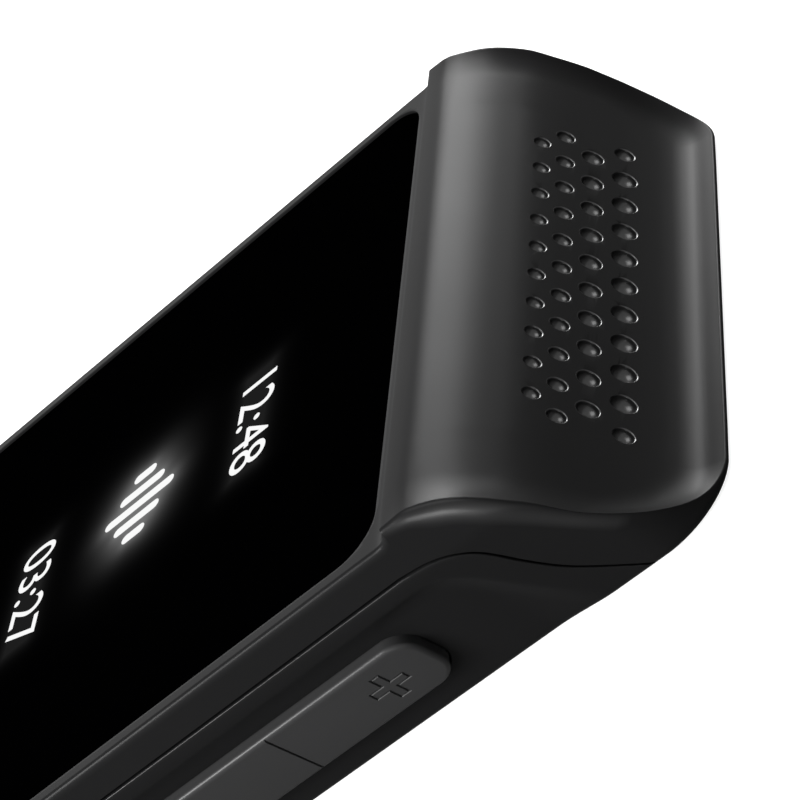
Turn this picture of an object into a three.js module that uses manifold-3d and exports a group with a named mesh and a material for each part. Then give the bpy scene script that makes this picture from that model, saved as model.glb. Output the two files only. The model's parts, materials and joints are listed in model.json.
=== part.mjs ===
// Handheld translator: a display slab with a raised, slanted loudspeaker hood at its top end.
// Millimetres. X is the right side (the side with the volume rocker), Y runs towards the hood,
// Z is up through the display. The translator lies on its flat back, with its origin under its middle.
import * as THREE from 'three';
import { mergeVertices } from 'three/addons/utils/BufferGeometryUtils.js';
import Module from 'manifold-3d';

const wasm = await Module();
wasm.setup();

// Overall body
const bodyLength = 132;
const bezelWidth = 60;
const frontLevel = 15.6;
const hoodRise = 0.95;
const hoodReach = 17.7;
const sideBulge = 0.4;
const waistStep = 0.4;
const shoulderDrop = 3.4;
const sideLean = 18;
const endLean = 6;
const planCorner = 9;
const backEdge = 0.8;
const lipEdge = 1.5;
const wall = 1.6;

// Edge between the front and the sides
const bezelRound = 0.7;
const hoodRound = 1.25;
const hoodBulge = 0.9;
const blendReach = 5;

// Parting line between the two housings, and the gaps between pieces
const seamGap = 0.25;
const fit = 0.3;
const closeGap = 0.15;
const overrun = 2;

// Display
const glassSide = 1.2;
const chinLength = 15.1;
const glassCorner = 3.2;
const glassThick = 0.8;
const glassRecess = 0.12;
const glassMargin = 1.2;
const adhesiveThick = 0.18;
const ledgeThick = 1.1;
const moduleSide = 3.2;
const moduleEnd = 3;
const moduleThick = 2;
const moduleCorner = 1.5;
const adhesiveWidth = 2;

// Hood face, its dish and its sound holes
const dishFillet = 3.4;
const dishLift = 1.2;
const holePitch = 3.67;
const holeWaistShare = 0.62;
const rowDiameters = [1.3, 1.44, 1.72, 1.96];
const endHoleDiameter = 1.6;
const rowCounts = [10, 11, 10, 11];
const holeChamfer = 0.35;
const faceWall = 1.5;

// Frame behind the display
const midframeRim = 1;
const midframeThick = 0.8;

// Main board
const boardInset = 10;
const boardLength = 41;
const boardThick = 1;
const boardCorner = 0.6;
const boardDrop = 3.2;
const boardMargin = 6.8;
const shieldHeight = 1.8;
const shieldWall = 0.25;
const shieldInset = 4.6;
const shieldSide = 2;
const shieldGap = 1;
const processorLength = 17;
const radioLength = 13;
const chipThick = 1;
const chipGap = 0.6;
const processorSize = 9.6;
const memoryLength = 4.8;
const radioSize = 8;
const motorDiameter = 8;
const motorThick = 2.7;
const connectorWidth = 9;
const connectorLength = 2.6;
const connectorHeight = 1;
const ribbonThick = 0.2;

// Battery
const batteryInset = 9;
const batteryGap = 2.9;
const batteryRoom = 2.38;
const batteryCorner = 1.2;

// Lower board with its socket and microphones
const lowerBoardInset = 11.5;
const lowerBoardLength = 11;
const lowerBoardLevel = 5.2;
const endClear = 0.6;
const usbWidth = 8.94;
const usbHeight = 3.2;
const usbDepth = 7.4;
const usbWall = 0.3;
const usbRoundShare = 0.96;
const usbSetback = 0.5;
const usbTongueWidth = 6.7;
const usbTongueThick = 0.7;
const usbTongueDepth = 4.5;
const microphoneWidth = 3.5;
const microphoneLength = 2.6;
const microphoneHeight = 1;
const microphoneInset = 4.5;
const soundBore = 1.1;
const linkWidth = 8;
const linkPlace = 10;

// Screws
const caseHeadDiameter = 3.2;
const caseHeadHeight = 0.9;
const caseShankDiameter = 1.6;
const caseShankLength = 7;
const caseBossDiameter = 4.6;
const caseInset = 8.6;
const caseHoodPlace = 2.6;
const caseChinPlace = 8.2;
const caseSplitLevel = 5.9;
const headSetback = 0.35;
const smallHeadDiameter = 2.6;
const smallHeadHeight = 0.7;
const smallShankDiameter = 1.2;
const smallShankLength = 2.6;
const smallBossDiameter = 3.4;
const smallInset = 2.4;

// Screw outline shares: radius as a share of the head's or shank's radius, height as a share of its height
const screwHeadShares = [[0, 0.55], [0.42, 0.55], [0.48, 0], [0.86, 0], [1, 0.3], [1, 1]];
const screwShankShares = [[1, 0], [1, 0.9], [0.5, 1], [0, 1]];

// Side keys
const keyRise = 0.85;
const keyWidth = 6.1;
const keyGap = 0.25;
const keyCorner = 2.6;
const keyEdge = 0.4;
const keyEdgeShare = 0.3;
const keyDrop = 0.35;
const keyFlange = 0.6;
const keyFlangeThick = 0.6;
const keyFlangeGap = 0.4;
const rockerLength = 27.2;
const rockerPlace = 18.5;
const rockerGroove = 0.35;
const powerLength = 11;
const powerPlace = 46;
const talkLength = 24;
const talkPlace = 18.5;
const nubDiameter = 1.8;
const nubLength = 0.5;
const switchPlaceShare = 0.36;
const switchSize = 3;
const switchThick = 1;
const plungerDiameter = 1.5;
const plungerLength = 0.4;
const plungerGap = 0.35;
const keyBoardThick = 0.5;
const keyBoardMargin = 2.5;

// Card tray
const trayWidth = 11.4;
const trayDepth = 17;
const trayThick = 0.8;
const trayHeadWidth = 14.4;
const trayHeadHeight = 2.2;
const trayHeadCorner = 0.95;
const trayDrop = 0.68;
const trayPlace = 40.2;
const trayPocketWidth = 8.8;
const trayPocketDepth = 12.3;
const readerWall = 0.3;
const readerDepth = 15.6;

// Camera and flash in the back
const cameraInset = 8.2;
const cameraPlace = 12.4;
const cameraSize = 8.6;
const lensDiameter = 6.4;
const lensHeight = 1.2;
const windowDiameter = 10;
const windowThick = 0.7;
const windowSetback = 0.1;
const flashSpacing = 12.4;
const flashDiameter = 4;
const flashFlange = 0.8;

// Loudspeaker
const speakerInset = 11;
const driverInset = 11.8;
const driverThick = 2.6;
const driverMargin = 2.1;
const gasketThick = 0.85;
const gasketRim = 1;
const gauzeThick = 0.15;
const coneDome = 0.8;
const coneInset = 1.8;
const coneShares = [[0, 0], [0.7, 0.45], [1, 1]];
const boxWall = 1;

// Antennas
const antennaThick = 0.3;
const antennaWidth = 22;
const antennaLength = 5;

// Smoothness of curved outlines, in steps
const cornerSteps = 5;
const curveSteps = 18;
const chinSteps = 3;
const roundSteps = 16;
const holeSteps = 8;
const screwSteps = 8;

// Outline shares: Y as a share of the hood's reach past the crease, Z as a share of the front level
const rimShares = [
  [0.046, 0.061], [0.150, 0.059], [0.226, 0.027], [0.311, -0.026], [0.395, -0.109], [0.494, -0.250],
  [0.655, -0.538], [0.734, -0.673], [0.808, -0.769], [0.893, -0.840], [0.966, -0.872], [1, -0.897],
];
const floorShares = [
  [0.046, 0.061], [0.150, 0.052], [0.226, 0.012], [0.311, -0.055], [0.395, -0.155], [0.486, -0.290],
  [0.593, -0.526], [0.661, -0.673], [0.723, -0.782], [0.791, -0.850], [0.870, -0.886], [0.980, -0.897],
];
const seamShares = [
  [-0.060, -0.167], [0.070, -0.185], [0.160, -0.222], [0.226, -0.288], [0.263, -0.365], [0.294, -0.468],
  [0.330, -0.571], [0.378, -0.680], [0.446, -0.788], [0.525, -0.897], [0.610, -1.010],
];
const waistShares = [
  [-0.140, -0.250], [-0.040, -0.252], [0.030, -0.272], [0.090, -0.330], [0.140, -0.420], [0.190, -0.540],
  [0.250, -0.680], [0.330, -0.850], [0.420, -1.010],
];
const creaseShares = [[0.040, 0.050], [0.024, 0.026], [0.002, 0.008], [-0.034, 0]];
const filletShares = [1.2, 1, 0.8, 0.6, 0.4, 0.2, 0];
const frontEdgeShares = [[0, 1], [0.12, 0.55], [0.5, 0.16], [1, 0]];
const backEdgeShares = [[0, 1, 1], [0.12, 0.5, 0.3], [0.4, 0.14, 0], [1, 0, 0]];
const rowShares = [[0.486, -0.290], [0.536, -0.398], [0.593, -0.526], [0.661, -0.673]];

// Places that follow from the sizes above
const halfBezel = bezelWidth / 2;
const halfLength = bodyLength / 2;
const topEnd = halfLength;
const bottomEnd = -halfLength;
const crease = topEnd - hoodReach;
const shoulder = frontLevel - shoulderDrop;
const peak = frontLevel + hoodRise;
const leanSlope = Math.tan(THREE.MathUtils.degToRad(sideLean));
const endSlope = Math.tan(THREE.MathUtils.degToRad(endLean));
const glassWidth = bezelWidth - 2 * glassSide;
const glassLength = bodyLength - hoodReach - glassMargin - chinLength;
const moduleWidth = glassWidth - 2 * moduleSide;
const moduleLength = glassLength - 2 * moduleEnd;
const glassTop = frontLevel - glassRecess;
const glassBottom = glassTop - glassThick;
const ledgeTop = glassBottom - adhesiveThick;
const ledgeBottom = ledgeTop - ledgeThick;
const glassHigh = crease - glassMargin;
const glassLow = glassHigh - glassLength;
const glassMiddle = (glassHigh + glassLow) / 2;
const moduleBottom = glassBottom - moduleThick;
const frameTop = ledgeBottom - fit;
const framePocket = moduleBottom - fit;
const frameBottom = framePocket - midframeThick;
const boardLevel = frameBottom - boardDrop;
const boardBottom = boardLevel - boardThick;
const boardWidth = 2 * (halfBezel - boardInset);
const boardTop = crease - boardMargin;
const boardLow = boardTop - boardLength;
const boardMiddle = (boardTop + boardLow) / 2;
const lowerBoardTop = lowerBoardLevel + boardThick;
const innerEnd = bottomEnd + wall + endSlope * shoulder;
const lowerBoardLow = innerEnd + endClear;
const lowerBoardHigh = lowerBoardLow + lowerBoardLength;
const lowerBoardWidth = 2 * (halfBezel - lowerBoardInset);
const batteryWidth = 2 * (halfBezel - batteryInset);
const trayY = crease - trayPlace;
const readerLow = trayY - trayWidth / 2 - fit - readerWall;
const batteryTop = Math.min(boardLow, readerLow) - batteryGap;
const batteryLow = lowerBoardHigh + batteryGap;
const batteryBottom = wall + batteryRoom;
const casePlace = halfBezel - caseInset;
const keyLevel = (backEdge + shoulder) / 2 - keyDrop;
const trayLevel = boardBottom - trayDrop;
const microphonePlace = lowerBoardWidth / 2 - microphoneInset;
const lowerScrewPlace = lowerBoardWidth / 2 - smallInset;
const cameraX = -(boardWidth / 2 - cameraInset);
const cameraY = crease - cameraPlace;
const flashX = cameraX + flashSpacing;
const speakerWidth = 2 * (halfBezel - speakerInset);
const driverWidth = 2 * (halfBezel - driverInset);

// Half width of the body at a level, before the waist step is taken off
function sideAt(level) {
  return halfBezel + sideBulge - leanSlope * Math.max(0, shoulder - level);
}

// Solids from closed geometry, and geometry from solids
function solidOf(geometry) {
  const bare = geometry.clone();
  bare.deleteAttribute('normal');
  bare.deleteAttribute('uv');
  const welded = mergeVertices(bare);
  return new wasm.Manifold(new wasm.Mesh({
    numProp: 3,
    vertProperties: new Float32Array(welded.attributes.position.array),
    triVerts: new Uint32Array(welded.index.array),
  }));
}

function geometryOf(solid) {
  const surface = solid.getMesh();
  const geometry = new THREE.BufferGeometry();
  geometry.setAttribute('position', new THREE.BufferAttribute(new Float32Array(surface.vertProperties), 3));
  geometry.setIndex(new THREE.BufferAttribute(new Uint32Array(surface.triVerts), 1));
  return geometry;
}

function joined(solids) {
  return solids.reduce((sum, next) => sum.add(next));
}

function cutBy(solid, cutters) {
  return cutters.reduce((rest, cutter) => rest.subtract(cutter), solid);
}

// A flat outline pushed along an axis: outlines are [X, Y] along z, [Y, Z] along x and [X, Z] along y
const axisBases = {
  x: [[0, 1, 0], [0, 0, 1], [1, 0, 0]],
  y: [[1, 0, 0], [0, 0, 1], [0, -1, 0]],
  z: [[1, 0, 0], [0, 1, 0], [0, 0, 1]],
};

function prism(outline, axis, low, high) {
  const shape = new THREE.Shape(outline.map(([a, b]) => new THREE.Vector2(a, b)));
  const geometry = new THREE.ExtrudeGeometry(shape, { depth: high - low, bevelEnabled: false });
  const [a, b, c] = axisBases[axis].map((row) => new THREE.Vector3(...row));
  const start = axis === 'y' ? c.clone().multiplyScalar(-high) : c.clone().multiplyScalar(low);
  const place = new THREE.Matrix4().makeBasis(a, b, c).setPosition(start);
  return geometry.applyMatrix4(place);
}

function box(x, y, z) {
  const outline = [[x[0], y[0]], [x[1], y[0]], [x[1], y[1]], [x[0], y[1]]];
  return prism(outline, 'z', z[0], z[1]);
}

function span(middle, size) {
  return [middle - size / 2, middle + size / 2];
}

// A rectangle with round corners, as an outline
function roundedOutline(a, b, radius) {
  const points = [];
  const corners = [[a[1], b[1], 0], [a[0], b[1], 1], [a[0], b[0], 2], [a[1], b[0], 3]];
  for (const [x, y, turn] of corners) {
    const centreX = x === a[1] ? x - radius : x + radius;
    const centreY = y === b[1] ? y - radius : y + radius;
    for (let step = 0; step <= cornerSteps; step += 1) {
      const angle = (turn + step / cornerSteps) * Math.PI / 2;
      points.push([centreX + radius * Math.cos(angle), centreY + radius * Math.sin(angle)]);
    }
  }
  return points;
}

function circleOutline(x, y, diameter, steps = roundSteps) {
  const points = [];
  for (let step = 0; step < steps; step += 1) {
    const angle = (step / steps) * Math.PI * 2;
    points.push([x + diameter / 2 * Math.cos(angle), y + diameter / 2 * Math.sin(angle)]);
  }
  return points;
}

// A point, and a smooth outline, from shares of the hood's reach and the front level
function hoodPoint([yShare, zShare]) {
  return new THREE.Vector2(crease + yShare * hoodReach, frontLevel + zShare * frontLevel);
}

function hoodCurve(shares, steps = curveSteps) {
  const points = shares.map(hoodPoint);
  return new THREE.SplineCurve(points).getPoints(steps).map((point) => [point.x, point.y]);
}

function levelOn(curve, y) {
  const next = Math.max(1, curve.findIndex((point) => point[0] >= y));
  const [a, b] = [curve[next - 1], curve[next]];
  return a[1] + (b[1] - a[1]) * (y - a[0]) / (b[0] - a[0]);
}

// An open line moved sideways, to the left of its direction
function moved(points, distance) {
  return points.map((point, index) => {
    const before = points[Math.max(0, index - 1)];
    const after = points[Math.min(points.length - 1, index + 1)];
    const direction = new THREE.Vector2(after[0] - before[0], after[1] - before[1]).normalize();
    return [point[0] - direction.y * distance, point[1] + direction.x * distance];
  });
}

// A closed skin over rings that all have the same number of points
function loft(rings) {
  const count = rings[0].length;
  const positions = rings.flat(2);
  const faces = [];
  for (let ring = 0; ring + 1 < rings.length; ring += 1) {
    for (let point = 0; point < count; point += 1) {
      const [a, b] = [ring * count + point, ring * count + (point + 1) % count];
      faces.push([a, b, b + count], [a, b + count, a + count]);
    }
  }
  const last = (rings.length - 1) * count;
  for (const [a, b, c] of capFaces(rings[0])) {
    faces.push([a, c, b]);
    faces.push([last + a, last + b, last + c]);
  }
  const geometry = new THREE.BufferGeometry();
  geometry.setAttribute('position', new THREE.BufferAttribute(new Float32Array(positions), 3));
  geometry.setIndex(faces.flat());
  return geometry;
}

// Faces that close a ring, in the flat directions in which the ring is widest
function capFaces(ring) {
  const spans = [0, 1, 2].map((axis) => {
    const values = ring.map((point) => point[axis]);
    return Math.max(...values) - Math.min(...values);
  });
  const thin = spans.indexOf(Math.min(...spans));
  const [a, b] = [(thin + 1) % 3, (thin + 2) % 3];
  return THREE.ShapeUtils.triangulateShape(ring.map((point) => new THREE.Vector2(point[a], point[b])), []);
}

// Body volume: level outlines from the back to the front, drawn in by a step
function bodyVolume(step) {
  const edge = backEdgeShares.map(([rise, inset, lip]) => [backEdge * rise, backEdge * inset, lipEdge * lip]);
  const levels = [...edge, [shoulder, 0, 0], [peak + overrun, 0, 0]];
  return loft(levels.map(([level, inset, lipInset]) => {
    const side = sideAt(level) - step - inset;
    const low = bottomEnd + endSlope * Math.max(0, shoulder - level) + step + inset;
    const outline = roundedOutline([-side, side], [low, topEnd - lipInset], planCorner - step - inset);
    return outline.map(([x, y]) => [x, y, level]);
  }));
}

// Side profile of the front: the hood from its lip to the crease, the bezel and the round chin edge
function frontProfile() {
  const rim = hoodCurve(rimShares).reverse();
  const crest = hoodCurve(creaseShares, creaseShares.length - 1);
  const chin = Array.from({ length: chinSteps + 1 }, (_, step) => {
    const angle = Math.PI / 2 * (1 + step / chinSteps);
    return [
      bottomEnd + bezelRound * (1 + Math.cos(angle)),
      frontLevel - bezelRound * (1 - Math.sin(angle)),
    ];
  });
  const lip = rim[0][1];
  return [
    [bottomEnd - overrun, -overrun], [topEnd + overrun, -overrun], [topEnd + overrun, lip],
    ...rim, ...crest, ...chin, [bottomEnd - overrun, frontLevel - bezelRound],
  ];
}

// How far past the crease a place is, from 0 on the bezel to 1 on the hood
function hoodBlend(y) {
  return THREE.MathUtils.smoothstep(y, crease, crease + blendReach);
}

// The front profile drawn in: straight down on the bezel, square to the surface on the hood
function drawnIn(profile, roundShare) {
  const lowered = moved(profile, 1);
  return profile.map(([y, z], index) => {
    const blend = hoodBlend(y);
    const inward = new THREE.Vector2(lowered[index][0] - y, lowered[index][1] - z);
    const direction = new THREE.Vector2(0, -1).lerp(inward, blend).normalize();
    const distance = roundShare * THREE.MathUtils.lerp(bezelRound, hoodRound, blend);
    return [y + direction.x * distance, z + direction.y * distance];
  });
}

// The front's round edge: the side profile drawn in towards both sides
function frontVolume() {
  const profile = frontProfile();
  const bulgeAt = (y) => THREE.MathUtils.lerp(sideBulge, hoodBulge, hoodBlend(y));
  const stages = frontEdgeShares.map(([bulgeShare, roundShare]) => (
    drawnIn(profile, roundShare).map(([y, z]) => [sideAt(z) - bulgeShare * bulgeAt(y), y, z])
  ));
  const outermost = stages[0].map(([x, y, z]) => [x + overrun, y, z]);
  const right = [outermost, ...stages].reverse();
  const left = [outermost, ...stages].map((ring) => ring.map(([x, y, z]) => [-x, y, z]));
  return loft([...left, ...right]);
}

// The region in front of a line that runs along the side, and the region behind it
function regionBefore(line) {
  const last = line[line.length - 1];
  return prism([
    ...line, [topEnd + overrun, last[1]], [topEnd + overrun, peak + 2 * overrun],
    [bottomEnd - 2 * overrun, peak + 2 * overrun],
  ], 'x', -bezelWidth, bezelWidth);
}

function regionBehind(line) {
  const last = line[line.length - 1];
  return prism([
    ...[...line].reverse(), [bottomEnd - 2 * overrun, last[1]],
  ], 'x', -bezelWidth, bezelWidth);
}

function sideLine(shares) {
  const curve = hoodCurve(shares);
  return [[bottomEnd - 2 * overrun, curve[0][1]], ...curve];
}

function wholeBody() {
  const narrow = solidOf(bodyVolume(waistStep));
  const wide = solidOf(bodyVolume(0)).intersect(solidOf(regionBefore(sideLine(waistShares))));
  return narrow.add(wide).intersect(solidOf(frontVolume()));
}

// The slanted hood face: its middle, its downhill direction and its outward direction, in Y and Z
function hoodFace() {
  const [first, last] = [rowShares[0], rowShares[rowShares.length - 1]].map(hoodPoint);
  const along = last.clone().sub(first).normalize();
  return { middle: first.add(last).multiplyScalar(0.5), along, out: new THREE.Vector2(-along.y, along.x) };
}

function onFace(v, n) {
  const face = hoodFace();
  const point = face.middle.clone().addScaledVector(face.along, v).addScaledVector(face.out, n);
  return [point.x, point.y];
}

// Where a line parallel to the face, n outwards from it, crosses a level
function faceAtLevel(n, level) {
  const [, z] = onFace(0, n);
  return onFace((level - z) / hoodFace().along.y, n);
}

// Hollow inside both housings
function hollow() {
  const behindFace = moved(hoodCurve(floorShares), -faceWall).filter(([y]) => y > crease + wall);
  const profile = [
    [innerEnd - overrun, -overrun], [topEnd, -overrun], ...behindFace.reverse(),
    [crease + wall, peak], [crease + wall, ledgeBottom], [innerEnd - overrun, ledgeBottom],
  ];
  const wallAcross = wall / Math.cos(THREE.MathUtils.degToRad(sideLean));
  const rings = [wall, shoulder, peak - wall].map((level) => {
    const side = sideAt(level) - waistStep - wallAcross;
    const corner = planCorner - waistStep - wallAcross;
    const outline = roundedOutline([-side, side], [innerEnd, topEnd - wall], corner);
    return outline.map(([x, y]) => [x, y, level]);
  });
  return solidOf(loft(rings)).intersect(solidOf(prism(profile, 'x', -bezelWidth, bezelWidth)));
}

// The dish in the hood: a sunk floor that curves up to a crisp rim along both sides
function dishCutter() {
  const rim = hoodCurve(rimShares);
  const floor = hoodCurve(floorShares);
  const rows = [...floor, [topEnd + overrun, floor[floor.length - 1][1]]];
  const corner = planCorner - hoodBulge;
  return loft(rows.map(([y, floorLevel]) => {
    const rimLevel = levelOn(rim, Math.min(y, topEnd));
    const past = Math.min(corner, Math.max(0, y - (topEnd - hoodBulge - corner)));
    const cornerInset = corner - Math.sqrt(corner * corner - past * past);
    const edge = sideAt(rimLevel) - hoodBulge - cornerInset;
    const bottom = filletShares.map((t) => {
      const rise = (rimLevel - floorLevel) * t * t + dishLift * Math.max(0, t - 1);
      return [edge - dishFillet * (1 - t), y, floorLevel + rise];
    });
    const bottomLeft = bottom.map(([x, , z]) => [-x, y, z]);
    const top = bottom.map(([x]) => [x, y, peak + overrun]);
    const topLeft = top.map(([x, , z]) => [-x, y, z]);
    return [...topLeft, ...[...top].reverse(), ...bottom, ...[...bottomLeft].reverse()];
  }));
}

// One chamfered sound hole along the face's outward direction
function soundHole(diameter) {
  const radius = diameter / 2;
  const waist = radius * holeWaistShare;
  const profile = [
    [0, -faceWall - overrun], [waist, -faceWall - overrun], [waist, -holeChamfer], [radius, 0],
    [radius + holeChamfer, overrun],
    [0, overrun],
  ];
  return new THREE.LatheGeometry(profile.map(([r, h]) => new THREE.Vector2(r, h)), holeSteps);
}

function soundHoles() {
  const out = new THREE.Vector3(0, hoodFace().out.x, hoodFace().out.y);
  const turn = new THREE.Quaternion().setFromUnitVectors(new THREE.Vector3(0, 1, 0), out);
  const cutters = [];
  rowShares.forEach((shares, row) => {
    const count = rowCounts[row];
    const middle = hoodPoint(shares);
    for (let index = 0; index < count; index += 1) {
      const atEnd = row === rowShares.length - 1 && (index === 0 || index === count - 1);
      const hole = soundHole(atEnd ? endHoleDiameter : rowDiameters[row]);
      const x = (index - (count - 1) / 2) * holePitch;
      const place = new THREE.Vector3(x, middle.x, middle.y);
      hole.applyMatrix4(new THREE.Matrix4().compose(place, turn, new THREE.Vector3(1, 1, 1)));
      cutters.push(solidOf(hole));
    }
  });
  return joined(cutters);
}

function cylinder(x, y, diameter, low, high) {
  return prism(circleOutline(x, y, diameter), 'z', low, high);
}

// Places of the fasteners
const casePlaces = [
  [-casePlace, crease + caseHoodPlace], [casePlace, crease + caseHoodPlace],
  [-casePlace, bottomEnd + caseChinPlace], [casePlace, bottomEnd + caseChinPlace],
];
const boardScrewPlaces = [
  [-(boardWidth / 2 - smallInset), boardTop - smallInset],
  [boardWidth / 2 - smallInset, boardTop - smallInset],
  [boardWidth / 2 - smallInset, boardLow + smallInset],
];
const lowerScrewY = lowerBoardHigh - smallInset;
const lowerScrewPlaces = [[-lowerScrewPlace, lowerScrewY], [lowerScrewPlace, lowerScrewY]];

// Front housing: bezel, ledge for the glass, hood and its screw bosses
function frontHousing(body) {
  const seam = sideLine(seamShares);
  const skin = body.intersect(solidOf(regionBefore(seam))).subtract(hollow());
  const bosses = casePlaces.map(([x, y]) => solidOf(cylinder(x, y, caseBossDiameter, caseSplitLevel, peak)));
  const shell = cutBy(joined([skin, ...bosses]).intersect(body), [solidOf(dishCutter()), soundHoles()]);
  const pocket = roundedOutline(
    span(0, glassWidth + 2 * closeGap), [glassLow - closeGap, glassHigh + closeGap], glassCorner + closeGap,
  );
  const opening = roundedOutline(
    span(0, moduleWidth + 2 * fit), span(glassMiddle, moduleLength + 2 * fit), moduleCorner + fit,
  );
  const framed = cutBy(shell, [
    solidOf(prism(pocket, 'z', ledgeTop, frontLevel + overrun)),
    solidOf(prism(opening, 'z', ledgeBottom - overrun, frontLevel + overrun)),
  ]);
  const pillars = lowerScrewPlaces.map(([x, y]) => (
    solidOf(cylinder(x, y, smallBossDiameter, lowerBoardTop, ledgeBottom + ledgeThick / 2))
  ));
  const screwTip = caseHeadLevel + caseShankLength + fit;
  const smallTip = lowerBoardLevel + smallShankLength + fit;
  const bores = [
    ...casePlaces.map(([x, y]) => cylinder(x, y, caseShankDiameter + 2 * closeGap, 0, screwTip)),
    ...lowerScrewPlaces.map(([x, y]) => cylinder(x, y, smallShankDiameter + 2 * closeGap, 0, smallTip)),
  ];
  return cutBy(joined([framed, ...pillars]), bores.map(solidOf));
}

// Frames of the two slanted sides: x points out of the side, y along the body, z up the slope
function sideFrame(side, place, level) {
  const frame = new THREE.Group();
  frame.position.set(side * (sideAt(level) - waistStep), crease - place, level);
  const lean = THREE.MathUtils.degToRad(sideLean);
  frame.rotation.y = side > 0 ? lean : Math.PI - lean;
  frame.updateMatrix();
  return frame;
}

// Levels across a side key, from its face inwards
const flangeOuter = -(wall + keyFlangeGap);
const flangeInner = flangeOuter - keyFlangeThick;
const nubTip = flangeInner - nubLength;
const plungerTip = nubTip - plungerGap;
const switchFace = plungerTip - plungerLength;
const keyBoardFace = switchFace - switchThick;
const keyBoardBack = keyBoardFace - keyBoardThick;

function keyOutline(length, grow) {
  return roundedOutline(span(0, length + 2 * grow), span(0, keyWidth + 2 * grow), keyCorner + grow);
}

function keyCutter(frame, length) {
  const slot = prism(keyOutline(length, keyGap), 'x', -wall - keyFlangeGap, overrun);
  return solidOf(slot.applyMatrix4(frame.matrix));
}

// A key: round-edged cap, retaining flange and the nubs that press its switches
function keyBody(length, nubPlaces, fulcrum) {
  const bevel = keyEdge * keyEdgeShare;
  const levels = [[flangeOuter, 0], [keyRise - keyEdge, 0], [keyRise - bevel, -bevel], [keyRise, -keyEdge]];
  const cap = loft(levels.map(([x, grow]) => keyOutline(length, grow).map(([y, z]) => [x, y, z])));
  const flange = prism(keyOutline(length, keyFlange), 'x', flangeInner, flangeOuter);
  const nub = (y, tip) => prism(circleOutline(y, 0, nubDiameter, holeSteps), 'x', tip, flangeOuter);
  const pieces = [cap, flange, ...nubPlaces.map((y) => nub(y, nubTip))];
  if (fulcrum) {
    pieces.push(nub(0, keyBoardFace + fit));
  }
  return joined(pieces.map(solidOf));
}

function rockerBody() {
  const nub = rockerLength * switchPlaceShare;
  const groove = prism([
    [-rockerGroove / 2, -keyWidth], [rockerGroove / 2, -keyWidth], [rockerGroove / 2, keyWidth],
    [-rockerGroove / 2, keyWidth],
  ], 'x', keyRise - rockerGroove / 2, keyRise + overrun);
  return keyBody(rockerLength, [-nub, nub], true).subtract(solidOf(groove));
}

function switchBody() {
  const outline = roundedOutline(span(0, switchSize), span(0, switchSize), fit);
  const plunger = circleOutline(0, 0, plungerDiameter, holeSteps);
  return solidOf(prism(outline, 'x', keyBoardFace, switchFace)).add(
    solidOf(prism(plunger, 'x', switchFace - fit, plungerTip)),
  );
}

function keyBoardOutline(low, high) {
  return roundedOutline([low, high], span(0, keyWidth - 2 * fit), fit);
}

// Blocks on the side wall that hold the ends of a key board
function keyBoardBlocks(frame, ends) {
  return ends.map(([y, direction]) => {
    const near = y + direction * fit;
    const far = near + direction * wall;
    const block = prism([
      [Math.min(near, far), -switchSize / 2], [Math.max(near, far), -switchSize / 2],
      [Math.max(near, far), switchSize / 2], [Math.min(near, far), switchSize / 2],
    ], 'x', keyBoardBack, -wall / 2);
    return solidOf(block.applyMatrix4(frame.matrix));
  });
}

const rightFrame = sideFrame(1, rockerPlace, keyLevel);
const powerFrame = sideFrame(1, powerPlace, keyLevel);
const leftFrame = sideFrame(-1, talkPlace, keyLevel);
const powerOffset = rockerPlace - powerPlace;
const rightBoardLow = powerOffset - powerLength / 2 - keyBoardMargin;
const rightBoardHigh = rockerLength / 2 + keyBoardMargin;
const leftBoardHalf = talkLength / 2 + keyBoardMargin / 2;

// Card tray
const trayWallX = -(sideAt(trayLevel) - waistStep - wall);
const trayTip = -(sideAt(trayLevel) - waistStep) + trayDepth;

function trayOpening(grow) {
  const outline = roundedOutline(
    span(trayY, trayHeadWidth + 2 * grow), span(trayLevel, trayHeadHeight + 2 * grow), trayHeadCorner + grow,
  );
  return solidOf(prism(outline, 'x', -bezelWidth, trayWallX + grow));
}

function cardTray(body) {
  const head = body.intersect(trayOpening(0));
  const plate = box([trayWallX - fit, trayTip], span(trayY, trayWidth), span(trayLevel, trayThick));
  const pocketEnd = trayTip - (trayWidth - trayPocketWidth) / 2;
  const pocket = box(
    [pocketEnd - trayPocketDepth, pocketEnd], span(trayY, trayPocketWidth), span(trayLevel, trayHeadHeight),
  );
  return head.add(solidOf(plate)).subtract(solidOf(pocket));
}

function cardReader() {
  const side = -(boardWidth / 2 - fit);
  const [low, high] = [readerLow, readerLow + trayWidth + 2 * fit + 2 * readerWall];
  const floor = trayLevel - trayThick / 2 - fit - readerWall;
  const shell = box([side, side + readerDepth], [low, high], [floor, boardBottom]);
  const room = box(
    [side - overrun, side + readerDepth - readerWall], [low + readerWall, high - readerWall],
    [floor + readerWall, boardBottom + overrun],
  );
  return solidOf(shell).subtract(solidOf(room));
}

// Socket and sound bores in the bottom end
const usbLevel = lowerBoardTop + usbHeight / 2;
const usbMouth = bottomEnd + waistStep + endSlope * (shoulder - usbLevel) + usbSetback;

function usbOutline(shrink) {
  const height = usbHeight - 2 * shrink;
  return roundedOutline(span(0, usbWidth - 2 * shrink), span(usbLevel, height), height / 2 * usbRoundShare);
}

function usbShell() {
  const outer = prism(usbOutline(0), 'y', usbMouth, usbMouth + usbDepth);
  const inner = prism(usbOutline(usbWall), 'y', usbMouth - overrun, usbMouth + usbDepth - usbWall);
  return solidOf(outer).subtract(solidOf(inner));
}

const microphoneLow = lowerBoardLow + readerWall;
const soundLevel = lowerBoardTop + microphoneHeight / 2;

// Camera and flash places on the back
const windowSeat = windowSetback + windowThick;

// Rear housing: tub with side walls, posts for the case screws and all side and end openings
const caseHeadLevel = headSetback + caseHeadHeight;

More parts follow.
